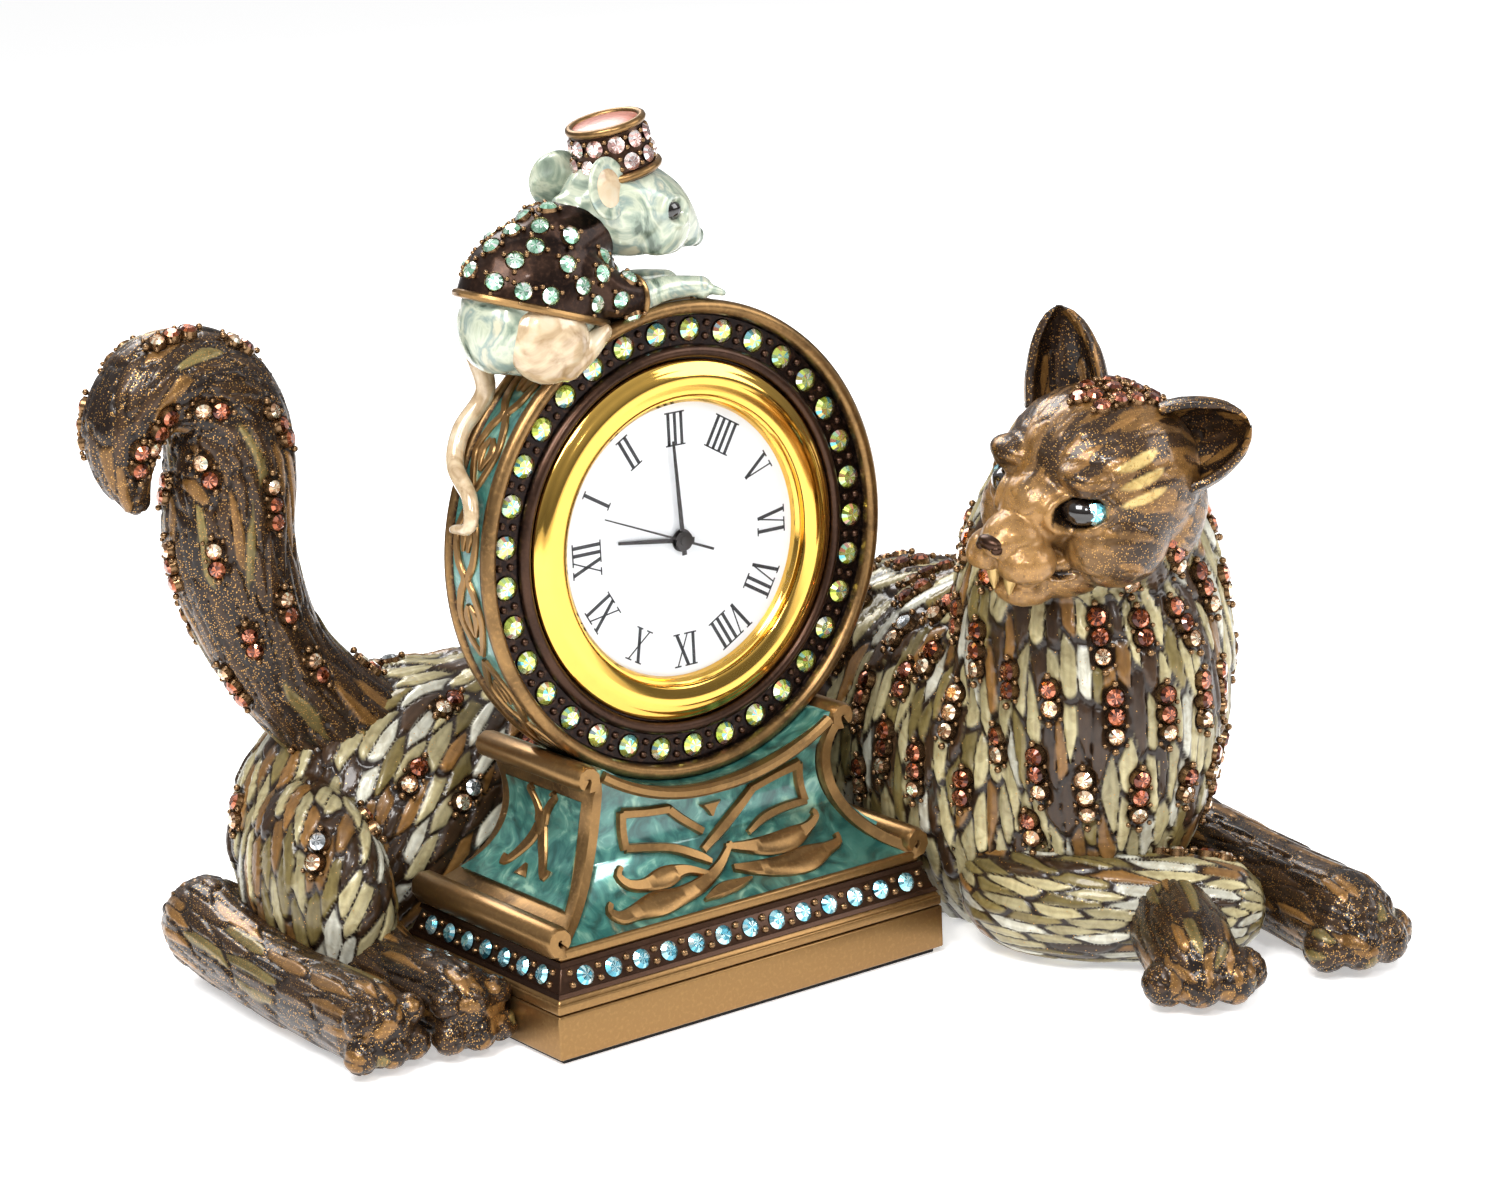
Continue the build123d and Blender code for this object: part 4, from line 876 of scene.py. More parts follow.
# ---------------------------------------------------------------- base
@dataclass
class Base:
    """The plinth, the jewelled band and the felt."""

    width: float = 48.1
    depth: float = 28.3
    band_low: float = 6.8
    band_high: float = 9.8
    tilt: float = 21.0
    inset: float = 1.035
    pitch: float = 3.35
    front_stones: int = 13
    side_stones: int = 7
    stone: float = 0.98

    def build(self) -> None:
        """Builds the plinth and its band."""
        self.build_plinth()
        self.build_band()

    def slab(self, shape: bmesh.types.BMesh, low: float, high: float, inset: Row) -> None:
        """Adds a slab whose sides may lean in.

        Args:
            shape: The bmesh that it is added to.
            low: The height of its underside.
            high: The height of its top.
            inset: How far its lower and upper edges stand in from the plinth's sides.
        """
        made = bmesh.ops.create_cube(shape, size=1.0)["verts"]
        for vert in made:
            in_by = inset[0] if vert.co.z < 0 else inset[1]
            vert.co = Vector(
                (
                    math.copysign(self.width / 2 - in_by, vert.co.x),
                    math.copysign(self.depth / 2 - in_by, vert.co.y),
                    low if vert.co.z < 0 else high,
                )
            )

    def build_plinth(self) -> None:
        """The brushed slab with its groove and lip."""
        shape = bmesh.new()
        self.slab(shape, 0.6, 5.1, (0.0, 0.0))
        self.slab(shape, 5.2, 6.25, (0.05, 0.05))
        self.slab(shape, 6.2, 6.8, (0.1, 0.45))
        soften(shape, 0.22, 30.0, 3)
        self.slab(shape, 4.9, 5.4, (0.9, 0.9))
        finish_piece("plinth_shell", to_mesh(shape), Finishes.BRONZE, nodes=("plinth",))

    def seats(self, proud: float) -> list[Seat]:
        """Seats for the band's stones, along the front and both ends."""
        level, rise = math.cos(math.radians(self.tilt)), math.sin(math.radians(self.tilt))
        middle = (self.band_low + self.band_high) / 2
        out = []
        for number in range(self.front_stones):
            across = (number - (self.front_stones - 1) / 2) * self.pitch
            place = Vector((across, self.inset - self.depth / 2, middle))
            facing = Vector((0, -level, rise))
            out.append(Seat(tuple(place + facing * proud), tuple(facing), self.stone, number * 0.7))
        for side in (-1, 1):
            for number in range(self.side_stones):
                along = (number - (self.side_stones - 1) / 2) * self.pitch
                facing = Vector((side * level, 0, rise))
                place = Vector((side * (self.width / 2 - self.inset), along, middle))
                out.append(Seat(tuple(place + facing * proud), tuple(facing), self.stone, number * 0.9))
        return out

    def build_band(self) -> None:
        """The dark band, its aqua stones, and pairs of beads between them."""
        shape = bmesh.new()
        self.slab(shape, self.band_low - 0.2, self.band_high, (0.37, 1.62))
        soften(shape, 0.15)
        for low, high, inset in ((6.75, 7.15, (0.3, 0.5)), (9.5, 9.95, (1.3, 1.45))):
            self.slab(shape, low, high, inset)
        finish_piece("band_shell", to_mesh(shape), Finishes.DARK_BRONZE, nodes=("jewel_band",))
        seats = self.seats(0.12)
        gem_piece("band_aqua_stones", seats, Finishes.AQUA, ("aqua_crystals",))
        beads = []
        up = Vector((0, 0, 1))
        for seat in seats:
            facing = Vector(seat.facing)
            along = facing.cross(up).normalized()
            rise = along.cross(facing).normalized()
            for reach in (-0.49, 0.49):
                for lift in (-0.62, 0.62):
                    place = Vector(seat.place) + along * reach * self.pitch + rise * lift - facing * 0.1
                    beads.append(Seat(tuple(place), seat.facing, 0.4))
        finish_piece("band_beads", SETTER.set_beads(beads), Finishes.BEAD_BRONZE)


# ---------------------------------------------------------------- pedestal
@dataclass
class Flare(Lay):
    """The pedestal's flared faces: how far each stands out at a height."""

    foot: float = 12.2
    neck: float = 7.6
    foot_z: float = 11.0
    neck_z: float = 23.4
    side: str = "front"
    lift: float = 0.0

    def out(self, up: float) -> float:
        """How far the face stands out from the middle at a height."""
        bow = 0.16 * math.hypot(self.foot - self.neck, self.neck_z - self.foot_z)
        middle = ((self.foot + self.neck) / 2 - bow, (self.foot_z + self.neck_z) / 2 - bow / 2)
        points = np.array([(self.foot, self.foot_z), middle, (self.neck, self.neck_z)])
        grid = np.column_stack([points, np.ones(3)])
        d, e, f = np.linalg.solve(grid, -(points**2).sum(1))
        centre = (-d / 2, -e / 2)
        radius = math.sqrt(centre[0] ** 2 + centre[1] ** 2 - f)
        level = min(max(up, self.foot_z), self.neck_z + 3)
        return centre[0] - math.sqrt(max(radius**2 - (level - centre[1]) ** 2, 0.0))

    def point(self, across: float, up: float, rise: float) -> Vector:
        """A point on the face.

        Args:
            across: Distance across the face.
            up: Height above the table.
            rise: Height above the face.

        Returns:
            The point in space.
        """
        slope = (self.out(up + 0.1) - self.out(up - 0.1)) / 0.2
        level, lift = 1 / math.hypot(1, slope), -slope / math.hypot(1, slope)
        rise += self.lift
        reach = self.out(up) + rise * level
        if self.side == "front":
            return Vector((across, -reach, up + rise * lift))
        if self.side == "back":
            return Vector((-across, reach, up + rise * lift))
        sign = 1 if self.side == "right" else -1
        return Vector((sign * reach, across * sign, up + rise * lift))


@dataclass
class Pedestal:
    """The flared pedestal: enamel panels, rolled side sheets and bronze strapwork."""

    front: Flare = field(default_factory=Flare)
    sheet: float = 0.75
    side_foot: float = 22.2
    side_neck: float = 13.5
    strap_rise: float = 0.55

    def build(self) -> None:
        """Builds the enamel core and its bronze."""
        core = copy_node("pedestal")
        finish_piece(
            "pedestal_enamel", to_mesh(core, False), Finishes.TEAL, nodes=("pedestal",)
        )
        self.build_sheets()
        self.build_straps()

    def sheet_path(self) -> list[tuple[float, float, float]]:
        """The side sheet's line as (out, up, half depth), rolled at both ends."""
        side = Flare(foot=self.side_foot, neck=self.side_neck)
        path = []
        turns = 9
        for step in range(turns):
            angle = math.radians(-60 + 300 * step / (turns - 1))
            radius = 0.45 + 0.6 * step / (turns - 1)
            path.append((15.9 + radius * math.cos(angle), 26.2 + radius * math.sin(angle), 9.3))
        for step in range(15):
            up = 25.4 - step / 14 * 13.6
            path.append((side.out(up) + self.sheet + 0.15, up, self.front.out(up) + 0.75))
        for step in range(turns):
            angle = math.radians(-100 + 330 * step / (turns - 1))
            radius = 1.2 - 0.75 * step / (turns - 1)
            path.append((self.side_foot + radius * math.cos(angle), 12.0 + radius * math.sin(angle), 12.6))
        return path

    def build_sheets(self) -> None:
        """The two rolled side sheets with their panels, the foot rail and the cradle's rim."""
        for sign, name in ((-1, "left"), (1, "right")):
            self.side_sheet(sign, name)
            panel = Flare(foot=self.side_foot, neck=self.side_neck, side=name, lift=1.6)
            self.side_panel(panel, name)
            self.side_figure(panel, name)
        self.build_rails()

    def side_sheet(self, sign: int, name: str) -> None:
        """One rolled side sheet.

        Args:
            sign: -1 on the left, 1 on the right.
            name: Which side it is.
        """
        path = self.sheet_path()
        rings = []
        for number, (out, up, half) in enumerate(path):
            ahead, behind = path[min(number + 1, len(path) - 1)], path[max(number - 1, 0)]
            along = Vector((ahead[0] - behind[0], 0, ahead[1] - behind[1])).normalized()
            across = Vector((-along.z, 0, along.x)) * self.sheet
            inner = half - 0.5
            section = (
                (-half, -0.7), (-half, 0.7), (-inner, 1), (inner, 1),
                (half, 0.7), (half, -0.7), (inner, -1), (-inner, -1),
            )
            ring = [Vector((out, y, up)) + across * thick for y, thick in section]
            rings.append([Vector((sign * point.x, point.y, point.z)) for point in ring])
        shape = bmesh.new()
        sweep(shape, rings)
        finish_piece(f"pedestal_{name}_sheet", to_mesh(shape), Finishes.BRONZE)

    def side_panel(self, panel: Flare, name: str) -> None:
        """One side's enamel panel.

        Args:
            panel: The face that it lies on.
            name: Which side it is.
        """
        rings = []
        for step in range(13):
            up = 12.6 + 10.9 * step / 12
            half = self.front.out(up) - 0.9
            section = ((-half, -0.9), (-half, 0.12), (half, 0.12), (half, -0.9))
            rings.append([panel.point(across, up, rise) for across, rise in section])
        shape = bmesh.new()
        sweep(shape, rings)
        bmesh.ops.subdivide_edges(shape, edges=shape.edges, cuts=2, use_grid_fill=True)
        finish_piece(f"pedestal_{name}_panel", to_mesh(shape), Finishes.TEAL)

    def build_rails(self) -> None:
        """The foot rail, and the rim of the cradle at the front and back."""
        shape = bmesh.new()
        made = bmesh.ops.create_cube(shape, size=1.0)["verts"]
        for vert in made:
            vert.co = Vector((vert.co.x * 44.9, vert.co.y * 25.0, 10.45 + vert.co.z * 1.25))
        soften(shape, 0.35, 30.0, 3)
        section = ((0.0, -2.0), (0.0, 0.1), (0.3, 0.4), (0.85, 0.4), (1.15, 0.1), (1.15, -2.0))
        for sign in (-1, 1):
            rings = []
            for step in range(-20, 21):
                angle = math.radians(-90 + step * 1.72)
                depth = 8.3 + 0.9 * abs(step) / 20
                ring = []
                for out, deep in section:
                    reach = 24.35 + out
                    point = (reach * math.cos(angle), sign * (depth + deep), DRUM_Z + reach * math.sin(angle))
                    ring.append(Vector(point))
                rings.append(ring)
            sweep(shape, rings)
        finish_piece("pedestal_rails", to_mesh(shape), Finishes.BRONZE)

    def side_figure(self, panel: Flare, name: str) -> None:
        """The symmetrical two-horned figure on a side panel.

        Args:
            panel: The panel that it lies on.
            name: Which side it is.
        """
        horn = (
            (0.4, 19.5, 0.75), (0.7, 20.8, 0.6), (1.6, 22.2, 0.5),
            (2.3, 22.9, 0.42), (2.0, 23.4, 0.3), (1.5, 23.0, 0.2),
        )
        leg = (
            (0.4, 18.9, 0.75), (1.0, 17.4, 0.75), (2.0, 15.9, 0.62),
            (3.0, 14.7, 0.5), (3.8, 14.3, 0.4), (3.9, 15.0, 0.25),
        )
        shape = bmesh.new()
        for sign in (-1, 1):
            for half in (horn, leg):
                strip(shape, panel, [(sign * across, up, width) for across, up, width in half], 0.4)
        strip(shape, panel, [(0, 18.0, 0.7), (0, 19.4, 1.0), (0, 20.8, 0.6)], 0.42)
        strip(shape, panel, [(0, 14.9, 0.1), (0, 14.3, 0.6), (0, 13.7, 1.1)], 0.4)
        finish_piece(f"pedestal_{name}_figure", to_mesh(shape), Finishes.BRONZE)

    def build_straps(self) -> None:
        """The crossing straps and leaves on the front and back faces."""
        straps = (
            ((-1.4, 17.4, 0.45), (-3.8, 19.3, 0.5), (-5.2, 20.6, 0.5)),
            ((-5.2, 20.6, 0.5), (-8.0, 20.9, 0.5), (-10.9, 21.4, 0.55)),
            ((-10.9, 21.6, 0.5), (-10.9, 19.4, 0.5), (-10.8, 17.6, 0.5)),
            ((-10.8, 17.7, 0.5), (-8.0, 17.2, 0.5), (-5.2, 16.5, 0.5), (-2.6, 15.2, 0.5), (-1.4, 14.4, 0.3)),
            ((-1.9, 15.6, 0.4), (1.0, 17.2, 0.6), (3.6, 19.0, 0.6), (5.2, 20.4, 0.5)),
            ((5.0, 20.4, 0.5), (8.0, 21.2, 0.5), (11.2, 21.9, 0.6)),
            ((11.1, 21.9, 0.55), (11.3, 19.6, 0.5), (11.7, 17.7, 0.5)),
            ((11.8, 17.7, 0.45), (8.8, 17.6, 0.5), (6.2, 17.1, 0.5), (4.0, 16.1, 0.3)),
            (
                (1.6, 15.6, 0.3), (-0.6, 13.9, 0.5), (-3.2, 12.9, 0.6), (-6.4, 12.4, 0.7), (-9.4, 12.3, 0.95),
                (-12.2, 12.1, 0.6), (-14.0, 12.0, 0.5), (-14.9, 12.6, 0.42), (-14.4, 13.2, 0.3),
            ),
            (
                (0.8, 15.4, 0.3), (3.2, 14.9, 0.6), (6.0, 14.5, 0.95), (9.0, 14.6, 1.0), (11.4, 15.2, 0.55),
                (12.6, 16.0, 0.4), (12.3, 16.6, 0.3),
            ),
            (
                (0.8, 13.4, 0.3), (3.4, 12.9, 0.6), (6.6, 12.5, 0.85), (9.8, 12.6, 1.0), (12.6, 12.9, 0.55),
                (14.1, 13.2, 0.42), (14.2, 13.9, 0.3),
            ),
            (
                (-2.2, 13.4, 0.25), (-4.6, 14.3, 0.5), (-7.2, 14.2, 0.95), (-9.8, 14.0, 0.6),
                (-11.6, 14.4, 0.5), (-12.4, 15.4, 0.42), (-11.8, 16.1, 0.3),
            ),
            ((-4.2, 11.6, 0.1), (-1.6, 12.0, 0.5), (0.8, 12.1, 0.35), (2.2, 12.2, 0.1)),
            ((0.0, 18.7, 0.12), (0.0, 19.4, 0.6), (0.0, 20.1, 1.35)),
        )
        shape = bmesh.new()
        for lay in (self.front, Flare(side="back")):
            for points in straps:
                strip(shape, lay, list(points), self.strap_rise)
        finish_piece("pedestal_straps", to_mesh(shape), Finishes.BRONZE)


# ---------------------------------------------------------------- drum
@dataclass
class DrumSide(Lay):
    """The drum's side band: across is along its depth, up is degrees round it."""

    radius: float = 23.75

    def point(self, across: float, up: float, rise: float) -> Vector:
        """A point on the band.

        Args:
            across: Forward distance.
            up: Arc length round the drum from its right side, in millimetres.
            rise: Height above the band.

        Returns:
            The point in space.
        """
        angle = up / self.radius
        reach = self.radius + rise
        return Vector((reach * math.cos(angle), -across, DRUM_Z + reach * math.sin(angle)))


@dataclass
class Drum:
    """The drum case with its rims, enamelled band, ring of stones and rear collar."""

    stones: int = 33
    circle: float = 21.17
    channel: float = 4.74
    motifs: int = 9
    band_middle: float = 2.1

    def build(self) -> None:
        """Builds the case, its stones and its band."""
        case = [
            (16.92, -5.15), (16.92, 4.7), (18.38, 4.7), (18.4, 5.15), (18.62, 5.45), (19.0, 5.6), (
                19.4, 5.45
            ),
            (19.68, 5.1), (19.75, 4.78), (22.55, 4.74), (22.7, 5.0), (22.75, 5.55), (22.95, 5.95), (
                23.3, 6.1
            ),
            (23.75, 6.05), (24.1, 5.8), (24.2, 5.4), (24.2, 5.05), (24.0, 4.75), (23.7, 4.6), (23.7, -0.4),
            (24.0, -0.55), (24.2, -0.8), (24.2, -1.3), (24.0, -1.6), (23.7, -1.75), (20.2, -1.75), (
                20.2, -4.8
            ),
            (19.9, -5.15),
        ]
        mesh = to_mesh(turned(case, ROUND_STEPS))
        shell = finish_piece(
            "drum_shell", mesh, Finishes.BRONZE, nodes=("drum_case",), smooth_angle=60
        )
        shell.data.materials.append(Finishes.DARK_BRONZE.material())
        for face in shell.data.polygons:
            middle = face.center / MM
            reach = math.hypot(middle.x, middle.z - DRUM_Z)
            if -middle.y > 4.5 and reach < 22.72:
                face.material_index = 1
        self.build_stones()
        self.build_band()

    def build_stones(self) -> None:
        """The rainbow stones, each between two pairs of beads, and their collars."""
        stones, beads = [], []
        for number in range(self.stones):
            angle = 2 * math.pi * (number + 0.5) / self.stones + math.pi / 2
            place = (
                self.circle * math.cos(angle), -(self.channel + 0.1), DRUM_Z + self.circle * math.sin(angle)
            )
            stones.append(Seat(place, (0, -1, 0), 1.14, number * 1.3))
            half = angle + math.pi / self.stones
            for reach in (-0.66, 0.66):
                r = self.circle + reach
                place = (r * math.cos(half), -(self.channel + 0.05), DRUM_Z + r * math.sin(half))
                beads.append(Seat(place, (0, -1, 0), 0.42))
        gem_piece(
            "drum_rainbow_stones", stones, Finishes.RAINBOW, ("drum_crystals",), SEED + 1
        )
        finish_piece("drum_beads", SETTER.set_beads(beads), Finishes.DARK_BRONZE)
        finish_piece("drum_stone_collars", SETTER.set_cups(stones, 0.3), Finishes.DARK_BRONZE)

    def build_band(self) -> None:
        """The enamelled side band with its raised bronze scrolls."""
        band = [(23.5, 4.55), (23.78, 4.5), (23.8, 4.0), (23.8, 0.2), (23.78, -0.3), (23.5, -0.35)]
        finish_piece(
            "drum_band_enamel", to_mesh(turned(band, ROUND_STEPS)), Finishes.TEAL,
            smooth_angle=60,
        )
        vine = (
            (0.1, 0.02, 0.3), (0.9, 0.12, 0.45), (1.7, 0.25, 0.4), (1.3, 0.4, 0.5), (0.35, 0.5, 0.4),
            (1.2, 0.6, 0.5), (1.8, 0.74, 0.4), (1.0, 0.88, 0.4), (0.1, 0.98, 0.3),
        )
        bud = ((0.0, 0.16, 0.15), (0.5, 0.24, 0.5), (0.4, 0.34, 0.2))
        leaf = ((0.2, 0.66, 0.2), (0.75, 0.74, 0.5), (0.1, 0.86, 0.15))
        lay = DrumSide()
        shape = bmesh.new()
        pitch = 2 * math.pi * lay.radius / self.motifs
        for number in range(self.motifs):
            for sign in (-1, 1):
                for scroll, rise in ((vine, 0.35), (bud, 0.3), (leaf, 0.3)):
                    path = [(self.band_middle + sign * a, pitch * (number + b), w) for a, b, w in scroll]
                    strip(shape, lay, path, rise, 0.3)
        finish_piece("drum_band_scrolls", to_mesh(shape), Finishes.BRONZE)


# ---------------------------------------------------------------- insert
class Stroke(Enum):
    """The strokes that Roman numerals are drawn with."""

    BAR = "I"
    CROSS = "X"
    WEDGE = "V"


@dataclass
class Insert:
    """The gold bezel, lens, dial with its numerals, and the movement behind."""

    dial_front: float = 4.3
    numeral_radius: float = 11.3
    numeral_height: float = 3.3
    thick: float = 0.36
    thin: float = 0.15

    def build(self) -> None:
        """Builds the visible face: the bezel, its inner wall, the numerals and the hand hub."""
        bezel = [
            (15.35, 4.74), (18.2, 4.74), (18.25, 4.9), (18.2, 5.2), (17.95, 5.45), (17.6, 5.55), (17.3, 5.75),
            (16.9, 5.98), (16.4, 6.05), (15.8, 6.0), (15.3, 5.85), (14.9, 5.8), (14.66, 5.7), (14.6, 5.5),
            (14.6, 5.25), (15.35, 5.25),
        ]
        finish_piece(
            "bezel_gold", to_mesh(turned(bezel, ROUND_STEPS)), Finishes.GOLD, "insert",
            ("bezel",), 60,
        )
        wall = [
            (13.85, 4.3), (14.9, 4.3), (14.9, 5.24), (14.3, 5.24), (14.25, 5.1), (14.0, 5.0), (13.95, 4.7)
        ]
        finish_piece(
            "bezel_inner_wall", to_mesh(turned(wall, 160)), Finishes.GOLD, "insert",
            ("inner_ring",), 60,
        )
        self.build_numerals()
        hub = bmesh.new()
        for radius, front, deep in ((1.0, 4.98, 0.25), (0.55, 5.12, 0.2)):
            place = Matrix.Translation((0, -front, DRUM_Z)) @ Matrix.Rotation(math.pi / 2, 4, "X")
            bmesh.ops.create_cone(
                hub, cap_ends=True, segments=32, radius1=radius, radius2=radius, depth=deep, matrix=place
            )
        soften(hub, 0.05)
        finish_piece("hand_hub", to_mesh(hub), Finishes.HAND, "seconds")

    def stroke(self, shape: bmesh.types.BMesh, start: Row, end: Row, width: float, turn: float) -> None:
        """A flat painted stroke on the dial.

        Args:
            shape: The bmesh that it is added to.
            start: Where it starts, across and up from the numeral's middle.
            end: Where it ends.
            width: How wide it is.
            turn: The numeral's place round the dial, in radians from the right.
        """
        a, b = Vector(start), Vector(end)
        along = b - a
        made = bmesh.ops.create_cube(shape, size=1.0)["verts"]
        spin = Matrix.Rotation(math.atan2(along.y, along.x), 2)
        for vert in made:
            local = (a + b) / 2 + spin @ Vector((vert.co.x * along.length, vert.co.y * width))
            radial = self.numeral_radius + local.y
            x = radial * math.cos(turn) + local.x * math.sin(turn)
            z = radial * math.sin(turn) - local.x * math.cos(turn)
            vert.co = Vector((x, -(self.dial_front + 0.012 + 0.02 * vert.co.z), DRUM_Z + z))

    def numeral(self, shape: bmesh.types.BMesh, text: str, turn: float) -> None:
        """Draws one numeral, upright where the dial's edge is its top.

        Args:
            shape: The bmesh that it is added to.
            text: The numeral.
            turn: Its place round the dial.
        """
        half = self.numeral_height / 2
        widths = {"I": 0.78, "V": 1.9, "X": 1.9}
        total = sum(widths[letter] for letter in text)
        left = -total / 2
        for letter in text:
            width = widths[letter]
            middle = left + width / 2
            arm = width / 2 - 0.3
            if Stroke(letter) is Stroke.BAR:
                self.stroke(shape, (middle, -half), (middle, half), self.thick, turn)
                serifs = [(middle, half, 0.42), (middle, -half, 0.42)]
            elif Stroke(letter) is Stroke.WEDGE:
                self.stroke(shape, (middle - arm, half), (middle, -half), self.thick, turn)
                self.stroke(shape, (middle + arm, half), (middle, -half), self.thin, turn)
                serifs = [(middle - arm, half, 0.4), (middle + arm, half, 0.4)]
            else:
                self.stroke(shape, (middle - arm, half), (middle + arm, -half), self.thick, turn)
                self.stroke(shape, (middle + arm, half), (middle - arm, -half), self.thin, turn)
                serifs = [(middle + s * arm, up, 0.4) for s in (-1, 1) for up in (half, -half)]
            for place, up, reach in serifs:
                self.stroke(shape, (place - reach, up), (place + reach, up), self.thin, turn)
            left += width

    def build_numerals(self) -> None:
        """All twelve numerals, with three at the top because the insert sits turned."""
        shape = bmesh.new()
        names = ("I", "II", "III", "IIII", "V", "VI", "VII", "VIII", "IX", "X", "XI", "XII")
        for number, text in enumerate(names):
            self.numeral(shape, text, math.radians(150 - 30 * number))
        finish_piece("dial_numerals", to_mesh(shape), Finishes.INK, "insert")


class CadDress(Enum):
    """CAD nodes that show as they are, each with its finish."""

    BASE_FELT = Finishes.FELT
    BASE_SCREWS = Finishes.STEEL
    GRIP_RING = Finishes.GRIP
    INSERT_CASE = Finishes.CASE
    LENS = Finishes.LENS
    DIAL = Finishes.DIAL
    HOUR_HAND = Finishes.HAND
    MAIN_PLATE = Finishes.PLATE
    HOUR_WHEEL = Finishes.BRASS
    ROTOR = Finishes.MAGNET
    SETTING_KNOB = Finishes.KNOB
    COIL = Finishes.COPPER
    CIRCUIT_BOARD = Finishes.BOARD


def dress_cad_nodes() -> None:
    """Gives every CAD node that still shows its finish."""
    finish_of = {choice.name.lower(): choice.value for choice in CadDress}
    alike = {
        "minute_hand": "hour_hand",
        "second_hand": "hour_hand",
        "train_bridge": "main_plate",
        "stator": "main_plate",
        "movement_holder": "insert_case",
        "battery_hatch": "insert_case",
        "quartz_can": "base_screws",
        "battery": "base_screws",
        "battery_contact": "hour_wheel",
        "centre_wheel": "hour_wheel",
        "second_wheel": "hour_wheel",
        "third_wheel": "hour_wheel",
        "step_wheel": "hour_wheel",
        "minute_wheel": "hour_wheel",
    }
    for name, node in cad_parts.items():
        if node.hide_render:
            continue
        finish = finish_of.get(alike.get(name, name), Finishes.BRONZE)
        node.data.materials.clear()
        node.data.materials.append(finish.material())


# ---------------------------------------------------------------- modelling clay
class Clay:
    """A soft shape made of balls and limbs that are melted into one skin."""

    def __init__(self) -> None:
        """Starts with nothing."""
        self.shape = bmesh.new()

    def ball(self, centre: Row, radii: Row, turn: Matrix | None = None) -> None:
        """Adds an egg; its centre and half sizes are in millimetres."""
        add_ball(self.shape, centre, radii, turn)

    def limb(self, points: list[Row]) -> None:
        """Adds a round limb through (x, y, z, radius) points."""
        tube(self.shape, points, 16, 0.8)

    def skin(self, voxel: float, smoothing: int = 6) -> bpy.types.Mesh:
        """Melts everything into one closed skin.

        Args:
            voxel: The size of the skin's faces.
            smoothing: Rounds of smoothing.

        Returns:
            The skin, in millimetres.
        """
        work = bpy.data.objects.new("clay", to_mesh(self.shape))
        bpy.context.scene.collection.objects.link(work)
        melt = work.modifiers.new("melt", "REMESH")
        melt.mode, melt.voxel_size = "VOXEL", voxel
        rub = work.modifiers.new("rub", "SMOOTH")
        rub.factor, rub.iterations = 0.5, smoothing
        bpy.context.view_layer.update()
        mesh = bpy.data.meshes.new_from_object(work.evaluated_get(bpy.context.evaluated_depsgraph_get()))
        bpy.data.objects.remove(work)
        return mesh


def read_skin(mesh: bpy.types.Mesh) -> tuple[np.ndarray, np.ndarray]:
    """A mesh's points and normals as arrays."""
    count = len(mesh.vertices)
    places, normals = np.empty(count * 3), np.empty(count * 3)
    mesh.vertices.foreach_get("co", places)
    mesh.vertex_normals.foreach_get("vector", normals)
    return places.reshape(-1, 3), normals.reshape(-1, 3)


def write_skin(mesh: bpy.types.Mesh, places: np.ndarray) -> None:
    """Moves a mesh's points, and keeps them off the table."""
    places[:, 2] = np.maximum(places[:, 2], 0.05)
    mesh.vertices.foreach_set("co", places.ravel())
    mesh.update()


def ease(values: np.ndarray, low: float, high: float) -> np.ndarray:
    """A smooth step from 0 at low to 1 at high."""
    share = np.clip((values - low) / (high - low), 0, 1)
    return share * share * (3 - 2 * share)


EYE_SOCKET = (9.0, 5.1, -0.6)


def eye_oval(local: np.ndarray, side: int) -> np.ndarray:
    """How far each point of the head is from an eye's middle, with 1 on the lids.

    Args:
        local: Points on the head's own axes.
        side: 1 for the near eye, -1 for the far one.

    Returns:
        The distances, along an oval that slants up and out.
    """
    eye = local - np.array((EYE_SOCKET[0], side * EYE_SOCKET[1], EYE_SOCKET[2]))
    slant = eye[:, 1] * side * -0.22
    return np.sqrt((eye[:, 1] * 0.4) ** 2 + (eye[:, 0] * 0.33) ** 2 + ((eye[:, 2] + slant) / 1.85) ** 2)


def mouth_gap(local: np.ndarray) -> np.ndarray:
    """How far each point of the head is above or below the mouth's line."""
    return np.abs(local[:, 2] + 7.9 + 0.12 * (local[:, 0] - 12))


CREAM, WHITE, OLIVE = (0.54, 0.47, 0.26), (0.7, 0.69, 0.58), (0.22, 0.17, 0.06)
OCHRE, BROWN, UMBER = (0.28, 0.14, 0.04), (0.055, 0.028, 0.013), (0.022, 0.012, 0.008)


